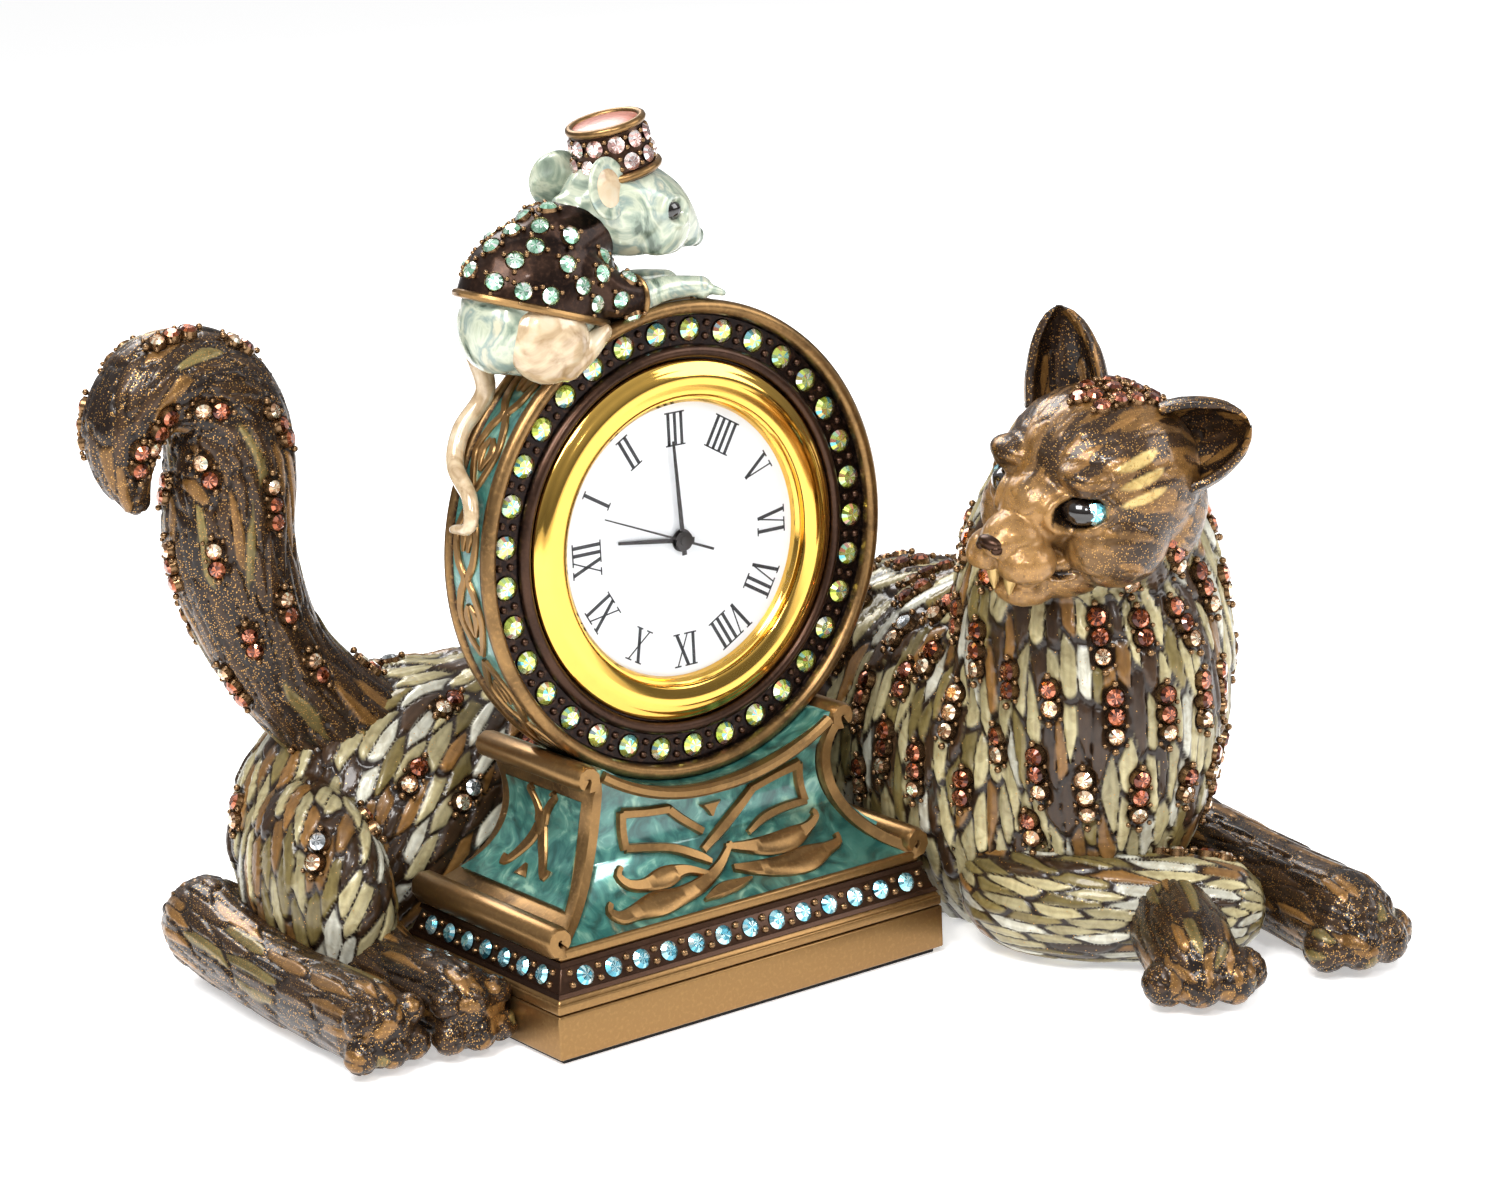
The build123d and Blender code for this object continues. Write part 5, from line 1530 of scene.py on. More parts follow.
@dataclass
class Fur:
    """Combs a skin into overlapping enamelled locks that follow guide strokes."""

    guides: tuple[Row, ...]
    length: float = 7.0
    width: float = 1.75
    rise: float = 0.8
    tones: tuple[tuple[Row, float], ...] = (
        (CREAM, 0.36), (WHITE, 0.12), (OLIVE, 0.16), (OCHRE, 0.14), (BROWN, 0.22)
    )
    seed: int = SEED
    strands: float = 0.05
    spread: float = 0.72
    tries: int = 16000
    near_roots: int = 28
    chunk: int = 4000

    def flow(self, places: np.ndarray, normals: np.ndarray) -> np.ndarray:
        """The way that the fur lies at each point, along the skin."""
        strokes = np.array(self.guides, float)
        out = np.zeros_like(places)
        for stroke in strokes:
            gap = np.linalg.norm(places - stroke[:3], axis=1) + 1.0
            out += stroke[3:] / np.linalg.norm(stroke[3:]) / gap[:, None] ** 3
        out -= normals * (out * normals).sum(1)[:, None]
        return out / (np.linalg.norm(out, axis=1)[:, None] + 1e-9)

    def comb(self, mesh: bpy.types.Mesh, stones: list[Seat]) -> None:
        """Raises the locks and writes their colour, with painted shade towards each root and painted light
        towards each tip, and their depth on the mesh.

        Args:
            mesh: The skin.
            stones: Where stones sit, so the fur lies flat there.
        """
        places, normals = read_skin(mesh)
        along = self.flow(places, normals)
        across = np.cross(normals, along)
        draw = np.random.default_rng(self.seed)
        roots: list[int] = []
        for number in draw.permutation(len(places))[: self.tries]:
            if roots:
                gap = places[roots] - places[number]
                reach = (
                    (gap @ along[number] / self.length) ** 2
                    + (gap @ across[number] / self.width) ** 2
                    + (gap @ normals[number] / self.width) ** 2
                )
                if reach.min() < self.spread:
                    continue
            roots.append(int(number))
        count = len(roots)
        bend = draw.normal(0, 0.35, count)
        lift = draw.uniform(0.7, 1.15, count)
        share = np.array([part for _, part in self.tones])
        pick = draw.choice(len(self.tones), size=count, p=share / share.sum())
        colour = np.array([tone for tone, _ in self.tones])[pick] * draw.uniform(0.75, 1.15, (count, 1))
        depth, shade = np.empty(len(places)), np.empty((len(places), 3))
        height = np.empty(len(places))
        tree = KDTree(count)
        for number, root in enumerate(roots):
            tree.insert(places[root], number)
        tree.balance()
        most = min(count, self.near_roots)
        root_list = np.array(roots)
        for start in range(0, len(places), self.chunk):
            chunk = slice(start, start + self.chunk)
            close = np.array([[found[1] for found in tree.find_n(place, most)] for place in places[chunk]])
            near_root = root_list[close]
            gap = places[chunk][:, None] - places[near_root]
            u = np.einsum("ijk,ijk->ij", gap, along[near_root]) / self.length
            v = np.einsum("ijk,ijk->ij", gap, across[near_root]) / self.width
            w = np.einsum("ijk,ijk->ij", gap, normals[near_root]) / self.width
            v = (v + bend[close] * u * u) / np.clip(1 - 0.35 * u, 0.5, 1.6)
            far = np.sqrt(u * u + v * v + w * w) - 0.12 * u
            two = np.argpartition(far, 1, axis=1)[:, :2]
            rows = np.arange(len(far))
            swap = far[rows, two[:, 0]] > far[rows, two[:, 1]]
            two[swap] = two[swap][:, ::-1]
            first = two[:, 0]
            best = close[rows, first]
            margin = far[rows, two[:, 1]] - far[rows, first]
            ridge = np.clip(margin / 0.42, 0, 1)
            depth[chunk] = ridge
            mine, side = np.clip(u[rows, first], -1, 1), v[rows, first]
            crest = np.sqrt(1 - (1 - ridge) ** 2)
            height[chunk] = crest * lift[best] * (0.7 + 0.4 * mine) + self.strands * np.sin(side * 17) * ridge
            # painted shade and light: each lock is painted darker towards its root and lighter towards its
            # tip, with streaks of tone across it
            light = (0.78 + 0.3 * mine + 0.1 * np.sin(side * 11 + best))[:, None]
            shade[chunk] = np.clip(colour[best] * light, 0, 1)
        if stones:
            size = max(seat.radius for seat in stones)
            near = np.full(len(places), 9.0)
            for seat in stones:
                near = np.minimum(near, np.linalg.norm(places - np.array(seat.place), axis=1))
            flat = ease(near, 1.15 * size, 1.9 * size)
            depth, height = depth * flat, height * flat
        layer = mesh.attributes.new("lock", "FLOAT_COLOR", "POINT")
        layer.data.foreach_set("color", np.column_stack([shade, np.ones(len(shade))]).ravel())
        layer = mesh.attributes.new("groove", "FLOAT", "POINT")
        layer.data.foreach_set("value", depth)
        write_skin(mesh, places + normals * (self.rise * (height - 0.45))[:, None])


class JewelKind(Enum):
    """The rows of stones that a setting can hold, from the root of the lock down."""

    AUTUMN = ("dark", "dark", "pale")
    EMBER = ("dark", "dark")
    PEACH = ("pale", "pale", "pale")
    FALL = ("dark", "pale")
    FROST = ("grey", "pale")
    CROWN = ("dark",)


@dataclass
class Jewels:
    """Leaf-shaped settings laid on a skin, each with a row of stones and end beads."""

    spots: tuple[tuple[Row, JewelKind], ...]
    fur: Fur
    radius: float = 0.92
    proud: float = 0.5

    def lay(self, mesh: bpy.types.Mesh) -> dict[str, list[Seat]]:
        """Works out where the stones, beads and beds go on a skin.

        Args:
            mesh: The skin before its fur is combed.

        Returns:
            Seats by kind: dark, pale, grey, bead and bed.
        """
        places, normals = read_skin(mesh)
        out: dict[str, list[Seat]] = {"dark": [], "pale": [], "grey": [], "bead": [], "bed": []}
        pitch = 2.15 * self.radius
        for spot, kind in self.spots:
            here = np.array(spot, float)
            row = kind.value
            stations = [*row, "bead"]
            nearest = int(np.argmin(((places - here) ** 2).sum(1)))
            here = places[nearest]
            for number, stone in enumerate(stations):
                close = np.argpartition(((places - here) ** 2).sum(1), 24)[:24]
                facing = normals[close].mean(0)
                facing /= np.linalg.norm(facing)
                radius = self.radius * (0.45 if stone == "bead" else 1 - 0.06 * number)
                seat = Seat(
                    tuple(places[close].mean(0) + facing * self.proud), tuple(facing), radius, 0.7 * number
                )
                out[stone].append(seat)
                along = self.fur.flow(here[None], facing[None])[0]
                if number == 0:
                    root = places[close].mean(0) - along * pitch * 0.72 + facing * self.proud
                    out["bead"].append(Seat(tuple(root), tuple(facing), self.radius * 0.42))
                side = np.cross(facing, along)
                if stone != "bead":
                    out["bed"].append(seat)
                    for sign in (-1, 1):
                        edge = np.array(seat.place) + side * sign * self.radius * 1.2 + along * pitch * 0.5
                        out["bead"].append(Seat(tuple(edge - facing * 0.2), tuple(facing), self.radius * 0.3))
                here = here + along * pitch * (0.8 if stations[min(number + 1, len(row))] == "bead" else 1.0)
        return out


def scatter(
    mesh: bpy.types.Mesh,
    low: Row,
    high: Row,
    gap: float,
    spots: tuple,
    kinds: tuple[JewelKind, ...],
    seed: int,
) -> tuple[tuple[Row, JewelKind], ...]:
    """Adds settings over part of a skin, clear of each other.

    Args:
        mesh: The skin.
        low: The lowest corner of the part.
        high: Its highest corner.
        gap: The least distance between two settings.
        spots: The settings already there.
        kinds: What to choose from.
        seed: Starts the draw.

    Returns:
        The old settings and the new ones.
    """
    places, _ = read_skin(mesh)
    inside = np.flatnonzero(((places > np.array(low)) & (places < np.array(high))).all(1))
    draw = np.random.default_rng(seed)
    out = list(spots)
    taken = [np.array(place, float) for place, _ in out]
    for number in draw.permutation(inside)[:SPOT_TRIES]:
        point = places[number]
        if taken and np.linalg.norm((point - np.array(taken)) * (1, 1, 0.72), axis=1).min() < gap:
            continue
        taken.append(point)
        out.append((tuple(point), kinds[int(draw.integers(len(kinds)))]))
    return tuple(out)


@dataclass
class Jeweller:
    """Collects the cat's stones and makes one piece of each colour."""

    seats: dict[str, list[Seat]] = field(
        default_factory=lambda: {k: [] for k in ("dark", "pale", "grey", "bead", "bed")}
    )

    def take(self, more: dict[str, list[Seat]]) -> list[Seat]:
        """Adds seats, and returns the ones that need room in the fur."""
        for kind, seats in more.items():
            self.seats[kind].extend(seats)
        return [*more["dark"], *more["pale"], *more["grey"]]

    def build(self) -> None:
        """Makes the stones, their collars and the beads."""
        gem_piece("cat_topaz_stones", self.seats["dark"], Finishes.TOPAZ, seed=SEED + 5)
        gem_piece("cat_peach_stones", self.seats["pale"], Finishes.CHAMPAGNE, seed=SEED + 6)
        gem_piece("cat_grey_stones", self.seats["grey"], Finishes.GREY_STONE, seed=SEED + 7)
        finish_piece(
            "cat_stone_beads", SETTER.set_beads(self.seats["bead"]), Finishes.BEAD_BRONZE
        )
        finish_piece(
            "cat_stone_collars", SETTER.set_cups(self.seats["bed"], 0.5), Finishes.BEAD_BRONZE
        )


# ---------------------------------------------------------------- cat
@dataclass
class HeadFrame:
    """The cat's head: forward along the nose, near towards the shown side, up through the crown."""

    centre: Row = (36.0, -26.6, 50.8)
    forward: Row = (-0.986, -0.148, 0.0)
    near: Row = (0.145, -0.971, -0.19)
    up: Row = (0.028, -0.189, 0.982)

    def matrix(self) -> Matrix:
        """The transform from the head's own axes."""
        turn = Matrix((self.forward, self.near, self.up)).transposed().to_4x4()
        return Matrix.Translation(self.centre) @ turn

    def place(self, point: Row) -> Vector:
        """A point given as (forward, near, up)."""
        return self.matrix() @ Vector(point)


@dataclass
class Cat:
    """The reclining cat: combed body, sculpted head, raised tail and paws."""

    head: HeadFrame = field(default_factory=HeadFrame)
    jeweller: Jeweller = field(default_factory=Jeweller)
    body_voxel: float = 0.34
    split_x: float = 9.0
    split_y: float = 2.0

    def build(self) -> None:
        """Builds the whole cat."""
        self.build_body()
        self.build_tail()
        self.build_legs()
        self.build_head()
        self.build_ears()
        self.jeweller.build()

    def body_fur(self) -> Fur:
        """The strokes that the body's fur follows."""
        return Fur(
            guides=(
                (-13, 14, 25, -0.75, -0.3, -0.6), (-30, 22, 20, -0.5, -0.3, -0.8), (
                    -25, 14, 10, -0.6, -0.2, -0.75
                ),
                (-8, 14, 18, -0.8, -0.1, -0.6), (-10, 30, 30, -0.9, 0.1, -0.2), (
                    -13, 44, 15, -0.7, 0.2, -0.7
                ),
                (5, 42, 20, -0.8, 0.1, -0.5), (5, 30, 31, -0.95, 0.0, -0.1), (30, 44, 20, -0.5, 0.3, -0.8),
                (49, 32, 20, 0.2, 0.3, -0.9), (30, 26, 35, -0.7, 0.3, -0.3), (20, 12, 25, -0.6, -0.1, -0.75),
                (42, -33, 25, 0.0, -0.1, -1.0), (30, -28, 25, -0.15, -0.1, -1.0), (
                    53, -22, 25, 0.15, 0.0, -1.0
                ),
                (56, -5, 20, 0.2, 0.1, -0.95), (25, -10, 22, -0.3, 0.0, -0.95), (24, 5, 22, -0.5, 0.1, -0.8),
                (44, -12, 54, 0.4, 0.4, -0.7), (50, -8, 42, 0.3, 0.4, -0.85), (34, -30, 40, 0.0, -0.2, -1.0),
                (40, -32, 10, 0.0, -0.2, -1.0), (28, -22, 8, -0.2, -0.1, -1.0), (
                    40, -34, 41, 0.55, 0.0, -0.8
                ),
                (36, -2, 38, -0.6, 0.5, -0.5),
            ),
            length=6.0,
            width=1.35,
            rise=0.85,
        )

    def body_jewels(self, fur: Fur, mesh: bpy.types.Mesh) -> Jewels:
        """Where the body's settings lie.

        Args:
            fur: The fur that they follow.
            mesh: The skin that they lie on.

        Returns:
            The settings.
        """
        kind = JewelKind
        spots = (
            ((31, -31, 38), kind.AUTUMN), ((35.5, -33, 37), kind.EMBER), ((40.5, -34, 38), kind.AUTUMN),
            ((46, -32, 40), kind.AUTUMN), ((51, -28, 38), kind.FALL), ((28, -27, 30), kind.FALL),
            ((32.5, -32, 29.5), kind.AUTUMN), ((37.5, -34, 29), kind.AUTUMN), ((43, -34, 29.5), kind.AUTUMN),
            ((48, -31, 29), kind.AUTUMN), ((53, -25, 29), kind.FALL), ((30, -30, 21), kind.PEACH),
            ((35, -33, 20.5), kind.AUTUMN), ((40.5, -34, 20), kind.FALL), ((46, -33, 21), kind.FALL),
            ((51.5, -28, 20), kind.FALL), ((27, -20, 24), kind.FALL), ((25.5, -14, 28), kind.PEACH),
            ((24, -6, 30), kind.EMBER), ((28, -2, 34), kind.FROST), ((33, 0, 37), kind.EMBER),
            ((24, 6, 31), kind.EMBER), ((27, -12, 36), kind.EMBER), ((30, -18, 42), kind.EMBER),
            ((20, 12, 29), kind.FALL), ((30, 8, 35), kind.FALL), ((26, 20, 34), kind.FROST),
            ((14, 18, 27), kind.FALL), ((36, 12, 35), kind.FALL), ((50, -14, 44), kind.FALL),
            ((54, -12, 32), kind.FALL), ((57, -8, 24), kind.FALL), ((46, -6, 40), kind.FALL),
            ((-6, 15, 24), kind.FALL), ((-14, 14.5, 20), kind.FROST), ((-20, 15, 24), kind.FALL),
            ((-26, 17, 19), kind.FALL), ((-31, 16, 17), kind.FROST), ((-12, 20, 29), kind.FALL),
            ((-20, 40, 22), kind.FALL), ((-4, 42, 24), kind.FALL), ((10, 42, 24), kind.FROST),
            ((26, 43, 24), kind.FALL), ((40, 40, 24), kind.FALL), ((50, 30, 26), kind.FALL),
            ((56, 8, 26), kind.FALL),
        )
        more = scatter(
            mesh, (23, -45, 15), (62, 2, 45), 5.0, spots, (kind.AUTUMN, kind.FALL, kind.EMBER), SEED
        )
        more = scatter(mesh, (20, -10, 24), (62, 50, 45), 6.0, more, (kind.FALL, kind.EMBER), SEED + 1)
        more = scatter(mesh, (-36, 10, 16), (20, 50, 40), 9.5, more, (kind.FALL, kind.FROST), SEED + 2)
        return Jewels(more, fur)

    def build_body(self) -> None:
        """The haunch, flank, shoulder and chest in one combed skin, split where the clock hides it."""
        clay = Clay()
        clay.ball((-13, 29, 13.5), (21, 15.2, 17))
        clay.ball((-29.6, 21.5, 10.5), (6.2, 12, 12))
        for place, size in ((-6, 15.2), (3, 15.4), (12, 15.8), (20, 16.2)):
            clay.ball((place, 28.4, 14.5), (14, size - 1.2, size + 0.8))
        clay.ball((30.5, 26, 16.5), (19.5, 18.3, 18.5))
        clay.ball((40.5, 8, 16.5), (16, 20, 19))
        clay.ball((40.5, -6, 17), (16.3, 25, 20.3))
        clay.ball((42, -18, 30), (15.0, 14.2, 26))
        clay.ball((39.5, -22, 26), (12.5, 12.5, 22))
        clay.ball((38, -23, 44), (11, 10.5, 8))
        mesh = clay.skin(self.body_voxel, 14)
        fur = self.body_fur()
        room = self.jeweller.take(self.body_jewels(fur, mesh).lay(mesh))
        fur.comb(mesh, room)
        across, along = ((self.split_x, 0, 0), (1, 0, 0)), ((0, self.split_y, 0), (0, 1, 0))
        for name, nodes, cuts in (
            ("cat_body_rear", ("cat_haunch", "cat_flank"), ((across, False),)),
            ("cat_body_shoulder", (), ((across, True), (along, True))),
            ("cat_body_chest", ("cat_chest",), ((across, True), (along, False))),
        ):
            part = bmesh.new()
            part.from_mesh(mesh)
            for (place, facing), keep in cuts:
                cut = bmesh.ops.bisect_plane(
                    part,
                    geom=[*part.verts, *part.edges, *part.faces],
                    plane_co=place,
                    plane_no=facing,
                    clear_inner=keep,
                    clear_outer=not keep,
                )["geom_cut"]
                edges = [item for item in cut if isinstance(item, bmesh.types.BMEdge)]
                bmesh.ops.holes_fill(part, edges=edges, sides=0)
            finish_piece(
                name, to_mesh(part, False), Finishes.FUR, nodes=nodes, smooth_angle=SKIN_ANGLE
            )

    def build_tail(self) -> None:
        """The raised tail that hooks over to the left."""
        stations = (
            (-20.5, 25.0, 6.4), (-24.5, 29.0, 6.0), (-28.6, 34.0, 5.9), (-31.4, 40.0, 6.2), (
                -33.0, 47.0, 6.7
            ),
            (-32.4, 54.0, 6.7), (-32.6, 59.8, 6.4), (-35.4, 63.8, 5.8), (-40.4, 64.2, 4.9), (
                -43.6, 60.6, 4.2
            ),
            (-44.0, 56.4, 3.0), (-43.2, 53.4, 1.6),
        )
        clay = Clay()
        clay.limb([(x, 28.0, z, radius) for x, z, radius in stations])
        mesh = clay.skin(0.3, 8)
        guides = []
        for near, far in zip(stations, stations[1:]):
            way = (far[0] - near[0], 0.0, far[1] - near[1])
            guides.extend((near[0], y, near[1], *way) for y in (22.0, 34.0))
        tones = ((BROWN, 0.42), (UMBER, 0.3), (OCHRE, 0.2), (OLIVE, 0.08))
        fur = Fur(tuple(guides), 8.5, 1.25, 0.55, tones, SEED + 2)
        kind = JewelKind
        spots = (
            ((-36, 21.6, 62), kind.FALL), ((-41, 23.4, 62), kind.AUTUMN), ((-38, 22, 55), kind.FALL),
            ((-31, 21, 50), kind.AUTUMN), ((-37.5, 22.5, 46), kind.FALL), ((-30, 22, 40), kind.FALL),
            ((-34, 22.4, 37), kind.EMBER), ((-27, 22.6, 33), kind.FALL), ((-44, 25, 59), kind.EMBER),
            ((-33, 34.8, 52), kind.FALL), ((-30, 34.2, 42), kind.FALL), ((-38, 34, 60), kind.FALL),
        )
        spots = scatter(
            mesh, (-60, 0, 31), (0, 60, 80), 6.2, spots, (kind.FALL, kind.EMBER, kind.AUTUMN), SEED + 3
        )
        room = self.jeweller.take(Jewels(spots, fur, 0.85).lay(mesh))
        fur.comb(mesh, room)
        finish_piece(
            "cat_tail_skin", mesh, Finishes.GLITTER, nodes=("cat_tail",),
            smooth_angle=SKIN_ANGLE,
        )

    def leg(
        self,
        name: str,
        limb: list[Row],
        toes: list[Row],
        tones: tuple,
        node: tuple[str, ...],
        finish: Finish,
        slot: str,
    ) -> None:
        """A leg with a rounded foot and toes, combed lengthwise.

        Args:
            name: The piece's name.
            limb: The leg's (x, y, z, radius) points.
            toes: The toes' (x, y, z, radius) balls.
            tones: The fur's colours and shares.
            node: The CAD nodes that it stands for.
            finish: What it is finished in.
            slot: Not used.
        """
        clay = Clay()
        clay.limb(limb)
        for x, y, z, radius in toes:
            clay.ball((x, y, z), (radius,) * 3)
        mesh = clay.skin(0.27, 3)
        guides = []
        for near, far in zip(limb, limb[1:]):
            way = [b - a for a, b in zip(near[:3], far[:3])]
            guides.append((*near[:3], *way))
            guides.append((*far[:3], *way))
        fur = Fur(tuple(guides), 7.5, 1.1, 0.42, tones, SEED + len(name), 0.03)
        room: list[Seat] = []
        if name == "cat_near_foreleg_skin":
            kind = JewelKind
            spots = (
                ((31, -20, 12.6), kind.AUTUMN), ((38, -29.5, 12), kind.PEACH), ((43, -34, 10.5), kind.FALL)
            )
            room = self.jeweller.take(Jewels(spots, fur, 0.85).lay(mesh))
        fur.comb(mesh, room)
        finish_piece(name, mesh, finish, nodes=node, smooth_angle=SKIN_ANGLE)

    def build_legs(self) -> None:
        """The two forelegs and the two hind feet."""
        pale = ((CREAM, 0.4), (WHITE, 0.16), (OLIVE, 0.2), (OCHRE, 0.14), (BROWN, 0.1))
        dark = ((BROWN, 0.5), (UMBER, 0.25), (OCHRE, 0.2), (OLIVE, 0.05))
        self.leg(
            "cat_near_foreleg_skin",
            [
                (33, -15, 7.0, 6.0), (30.5, -20, 6.2, 5.9), (33, -27, 6.2, 5.8), (39, -32.5, 6.0, 5.5),
                (42.5, -35.5, 5.8, 5.2),
            ],
            [],
            pale,
            ("cat_near_foreleg",),
            Finishes.FUR,
            "fur_enamel",
        )
        self.leg(
            "cat_near_paw_skin",
            [(39.5, -32, 5.8, 4.8), (36.5, -36, 5.4, 4.7), (34, -40.5, 4.9, 4.7), (32.2, -43.6, 4.5, 4.4)],
            [
                (28.6, -43.0, 3.0, 2.3), (30.6, -46.0, 3.2, 2.4), (33.7, -47.2, 3.2, 2.4),
                (36.8, -45.6, 3.0, 2.3),
            ],
            dark,
            (),
            Finishes.GLITTER,
            "gold_glitter",
        )
        self.leg(
            "cat_far_foreleg_skin",
            [
                (56, -12, 6.0, 5.4), (55.4, -20, 5.6, 5.2), (54.2, -29, 5.2, 4.9), (52.6, -38, 5.0, 4.8),
                (51.2, -45.5, 4.9, 5.0),
            ],
            [
                (46.9, -47.0, 3.2, 2.4), (49.3, -49.4, 3.5, 2.5), (52.4, -49.6, 3.5, 2.5),
                (55.4, -47.4, 3.2, 2.4),
            ],
            dark,
            ("cat_far_foreleg",),
            Finishes.GLITTER,
            "gold_glitter",
        )
        for side, x, heel, toe in (("outer", -37.4, 32.5, -1.5), ("inner", -28.3, 21.0, -3.0)):
            limb = [
                (x + 0.9, heel, 6.2, 5.0), (x + 0.5, heel - 6, 5.2, 4.5), (x, (heel + toe) / 2, 4.4, 4.1),
                (x, toe + 6, 4.5, 4.2), (x, toe, 4.4, 4.2),
            ]
            toes = []
            for reach in (-2.9, 0.0, 2.9):
                toes.append((x + reach, toe - 3.1 + abs(reach) * 0.25, 2.6, 1.75))
                toes.append((x + reach * 0.96, toe - 2.8 + abs(reach) * 0.25, 5.9, 1.6))
            node = ("cat_hind_feet",) if side == "outer" else ()
            self.leg(f"cat_{side}_hind_foot_skin", limb, toes, dark, node, Finishes.GLITTER, "gold_glitter")

    def build_head(self) -> None:
        """The sculpted head with its eyes, nose, mouth and the crown of stones."""
        at = self.head.place
        turn = self.head.matrix().to_3x3().to_4x4()
        clay = Clay()
        for centre, radii in (
            ((0, 0, 0), (10.6, 10.2, 9.4)),
            ((3.0, 5.6, -4.4), (6.2, 4.6, 4.9)),
            ((3.0, -5.6, -4.4), (6.2, 4.6, 4.9)),
            ((8.4, 0, -1.4), (4.6, 4.4, 4.0)),
            ((12.0, 0, -4.2), (4.2, 3.1, 2.9)),
            ((12.4, 2.1, -6.2), (3.3, 2.7, 2.5)),
            ((12.4, -2.1, -6.2), (3.3, 2.7, 2.5)),
            ((15.3, 0, -4.4), (1.5, 1.7, 1.3)),
            ((9.6, 0, -9.8), (3.6, 3.0, 2.0)),
            ((5.0, 0, -8.2), (6.0, 5.4, 3.4)),
            ((8.0, 4.4, 2.8), (2.7, 3.0, 1.5)),
            ((8.0, -4.4, 2.8), (2.7, 3.0, 1.5)),
            ((-4, 0, -3), (8, 9.4, 9)),
        ):
            clay.ball(tuple(at(centre)), radii, turn)
        mesh = clay.skin(0.24, 9)
        places, normals = read_skin(mesh)
        back = np.array(self.head.matrix().inverted())
        local = places @ back[:3, :3].T + back[:3, 3]
        move = np.zeros(len(places))
        for side in (1, -1):
            oval = eye_oval(local, side)
            move -= 1.5 * (1 - ease(oval, 0.55, 1.0))
            move += 0.5 * np.exp(-(((oval - 1.15) / 0.17) ** 2))
            nostril = np.linalg.norm((local - np.array((16.0, side * 0.9, -4.9))) / (1, 0.5, 0.4), axis=1)
            move -= 0.5 * np.exp(-(nostril**2))
            move -= 0.45 * np.exp(-((mouth_gap(local) / 0.45) ** 2)) * ease(local[:, 0], 6.5, 9.0)
        crease = np.exp(-((local[:, 1] / 0.35) ** 2)) * ease(local[:, 0], 13.0, 14.5) * ease(
            -local[:, 2], 5.0, 6.0
        )
        move -= 0.5 * crease
        strokes = (
            ((9, 0, 3), (-1, 0, 0.5)), ((4, 0, 9), (-1, 0, 0.1)), ((5, 8, -3), (-0.9, 0.3, -0.3)),
            ((5, -8, -3), (-0.9, -0.3, -0.3)), ((12, 3, -6), (-0.9, 0.4, -0.2)),
            ((12, -3, -6), (-0.9, -0.4, -0.2)), ((2, 6, -9), (-0.7, 0.2, -0.7)),
            ((6, 7, 3), (-0.9, 0.2, 0.3)), ((-9, 0, 2), (-0.3, 0, -1)),
        )
        guides = tuple((*at(place), *(turn @ Vector(way))) for place, way in strokes)
        write_skin(mesh, places + normals * move[:, None])
        tones = ((OCHRE, 0.3), (BROWN, 0.5), ((0.22, 0.12, 0.05), 0.2))
        fur = Fur(guides, 3.6, 0.75, 0.14, tones, SEED + 3, 0.0)
        crown = (
            (3.6, 0.6), (2.0, 3.2), (2.4, -2.2), (0.2, 0.8), (-0.6, 3.8), (-1.4, -2.0), (-3.0, 1.4),
            (-3.8, 4.2), (-4.8, -1.6), (-6.0, 2.6), (5.2, -1.2), (4.8, 2.4),
        )
        spots = tuple((tuple(at((forward, near, 12))), JewelKind.CROWN) for forward, near in crown)
        room = self.jeweller.take(Jewels(spots, fur, 0.85, 0.35).lay(mesh))
        fur.comb(mesh, room)
        self.shade_face(mesh, local)
        finish_piece(
            "cat_head_skin", mesh, Finishes.GLITTER, nodes=("cat_head",),
            smooth_angle=SKIN_ANGLE,
        )
        self.build_face(at, turn)

    def shade_face(self, mesh: bpy.types.Mesh, local: np.ndarray) -> None:
        """Darkens the sockets, mouth and brow, and lights the muzzle and chin.

        Args:
            mesh: The head's skin.
            local: Its points on the head's own axes.
        """
        layer = mesh.attributes["lock"]
        colour = np.empty(len(local) * 4)
        layer.data.foreach_get("color", colour)
        colour = colour.reshape(-1, 4)
        depth = np.empty(len(local))
        mesh.attributes["groove"].data.foreach_get("value", depth)
        depth = np.clip(depth * 1.2 + 0.35, 0, 1)
        gold = np.array((0.42, 0.23, 0.08))
        warm = ease(local[:, 0], 5.0, 12.0) * (1 - ease(local[:, 2], -1.0, 3.0)) * 0.75
        colour[:, :3] = colour[:, :3] * (1 - warm[:, None]) + gold * warm[:, None]
        for side in (1, -1):
            oval = eye_oval(local, side)
            depth *= ease(oval, 0.8, 1.1)
            temple = local - np.array((4.0, side * 8.4, 3.0))
            for lift in (-1.7, 0.0, 1.7):
                mark = np.sqrt(
                    (temple[:, 0] / 2.6) ** 2 + ((temple[:, 2] - lift + 0.35 * temple[:, 0]) / 0.6) ** 2
                )
                near = (1 - ease(mark, 0.7, 1.0)) * (local[:, 1] * side > 3)
                colour[:, :3] = colour[:, :3] * (1 - near[:, None]) + np.array((0.62, 0.45, 0.17)) * near[
                    :, None
                ]
        depth *= 1 - np.exp(-((mouth_gap(local) / 0.5) ** 2)) * ease(local[:, 0], 6.5, 9.0)
        layer.data.foreach_set("color", colour.ravel())
        mesh.attributes["groove"].data.foreach_set("value", depth)

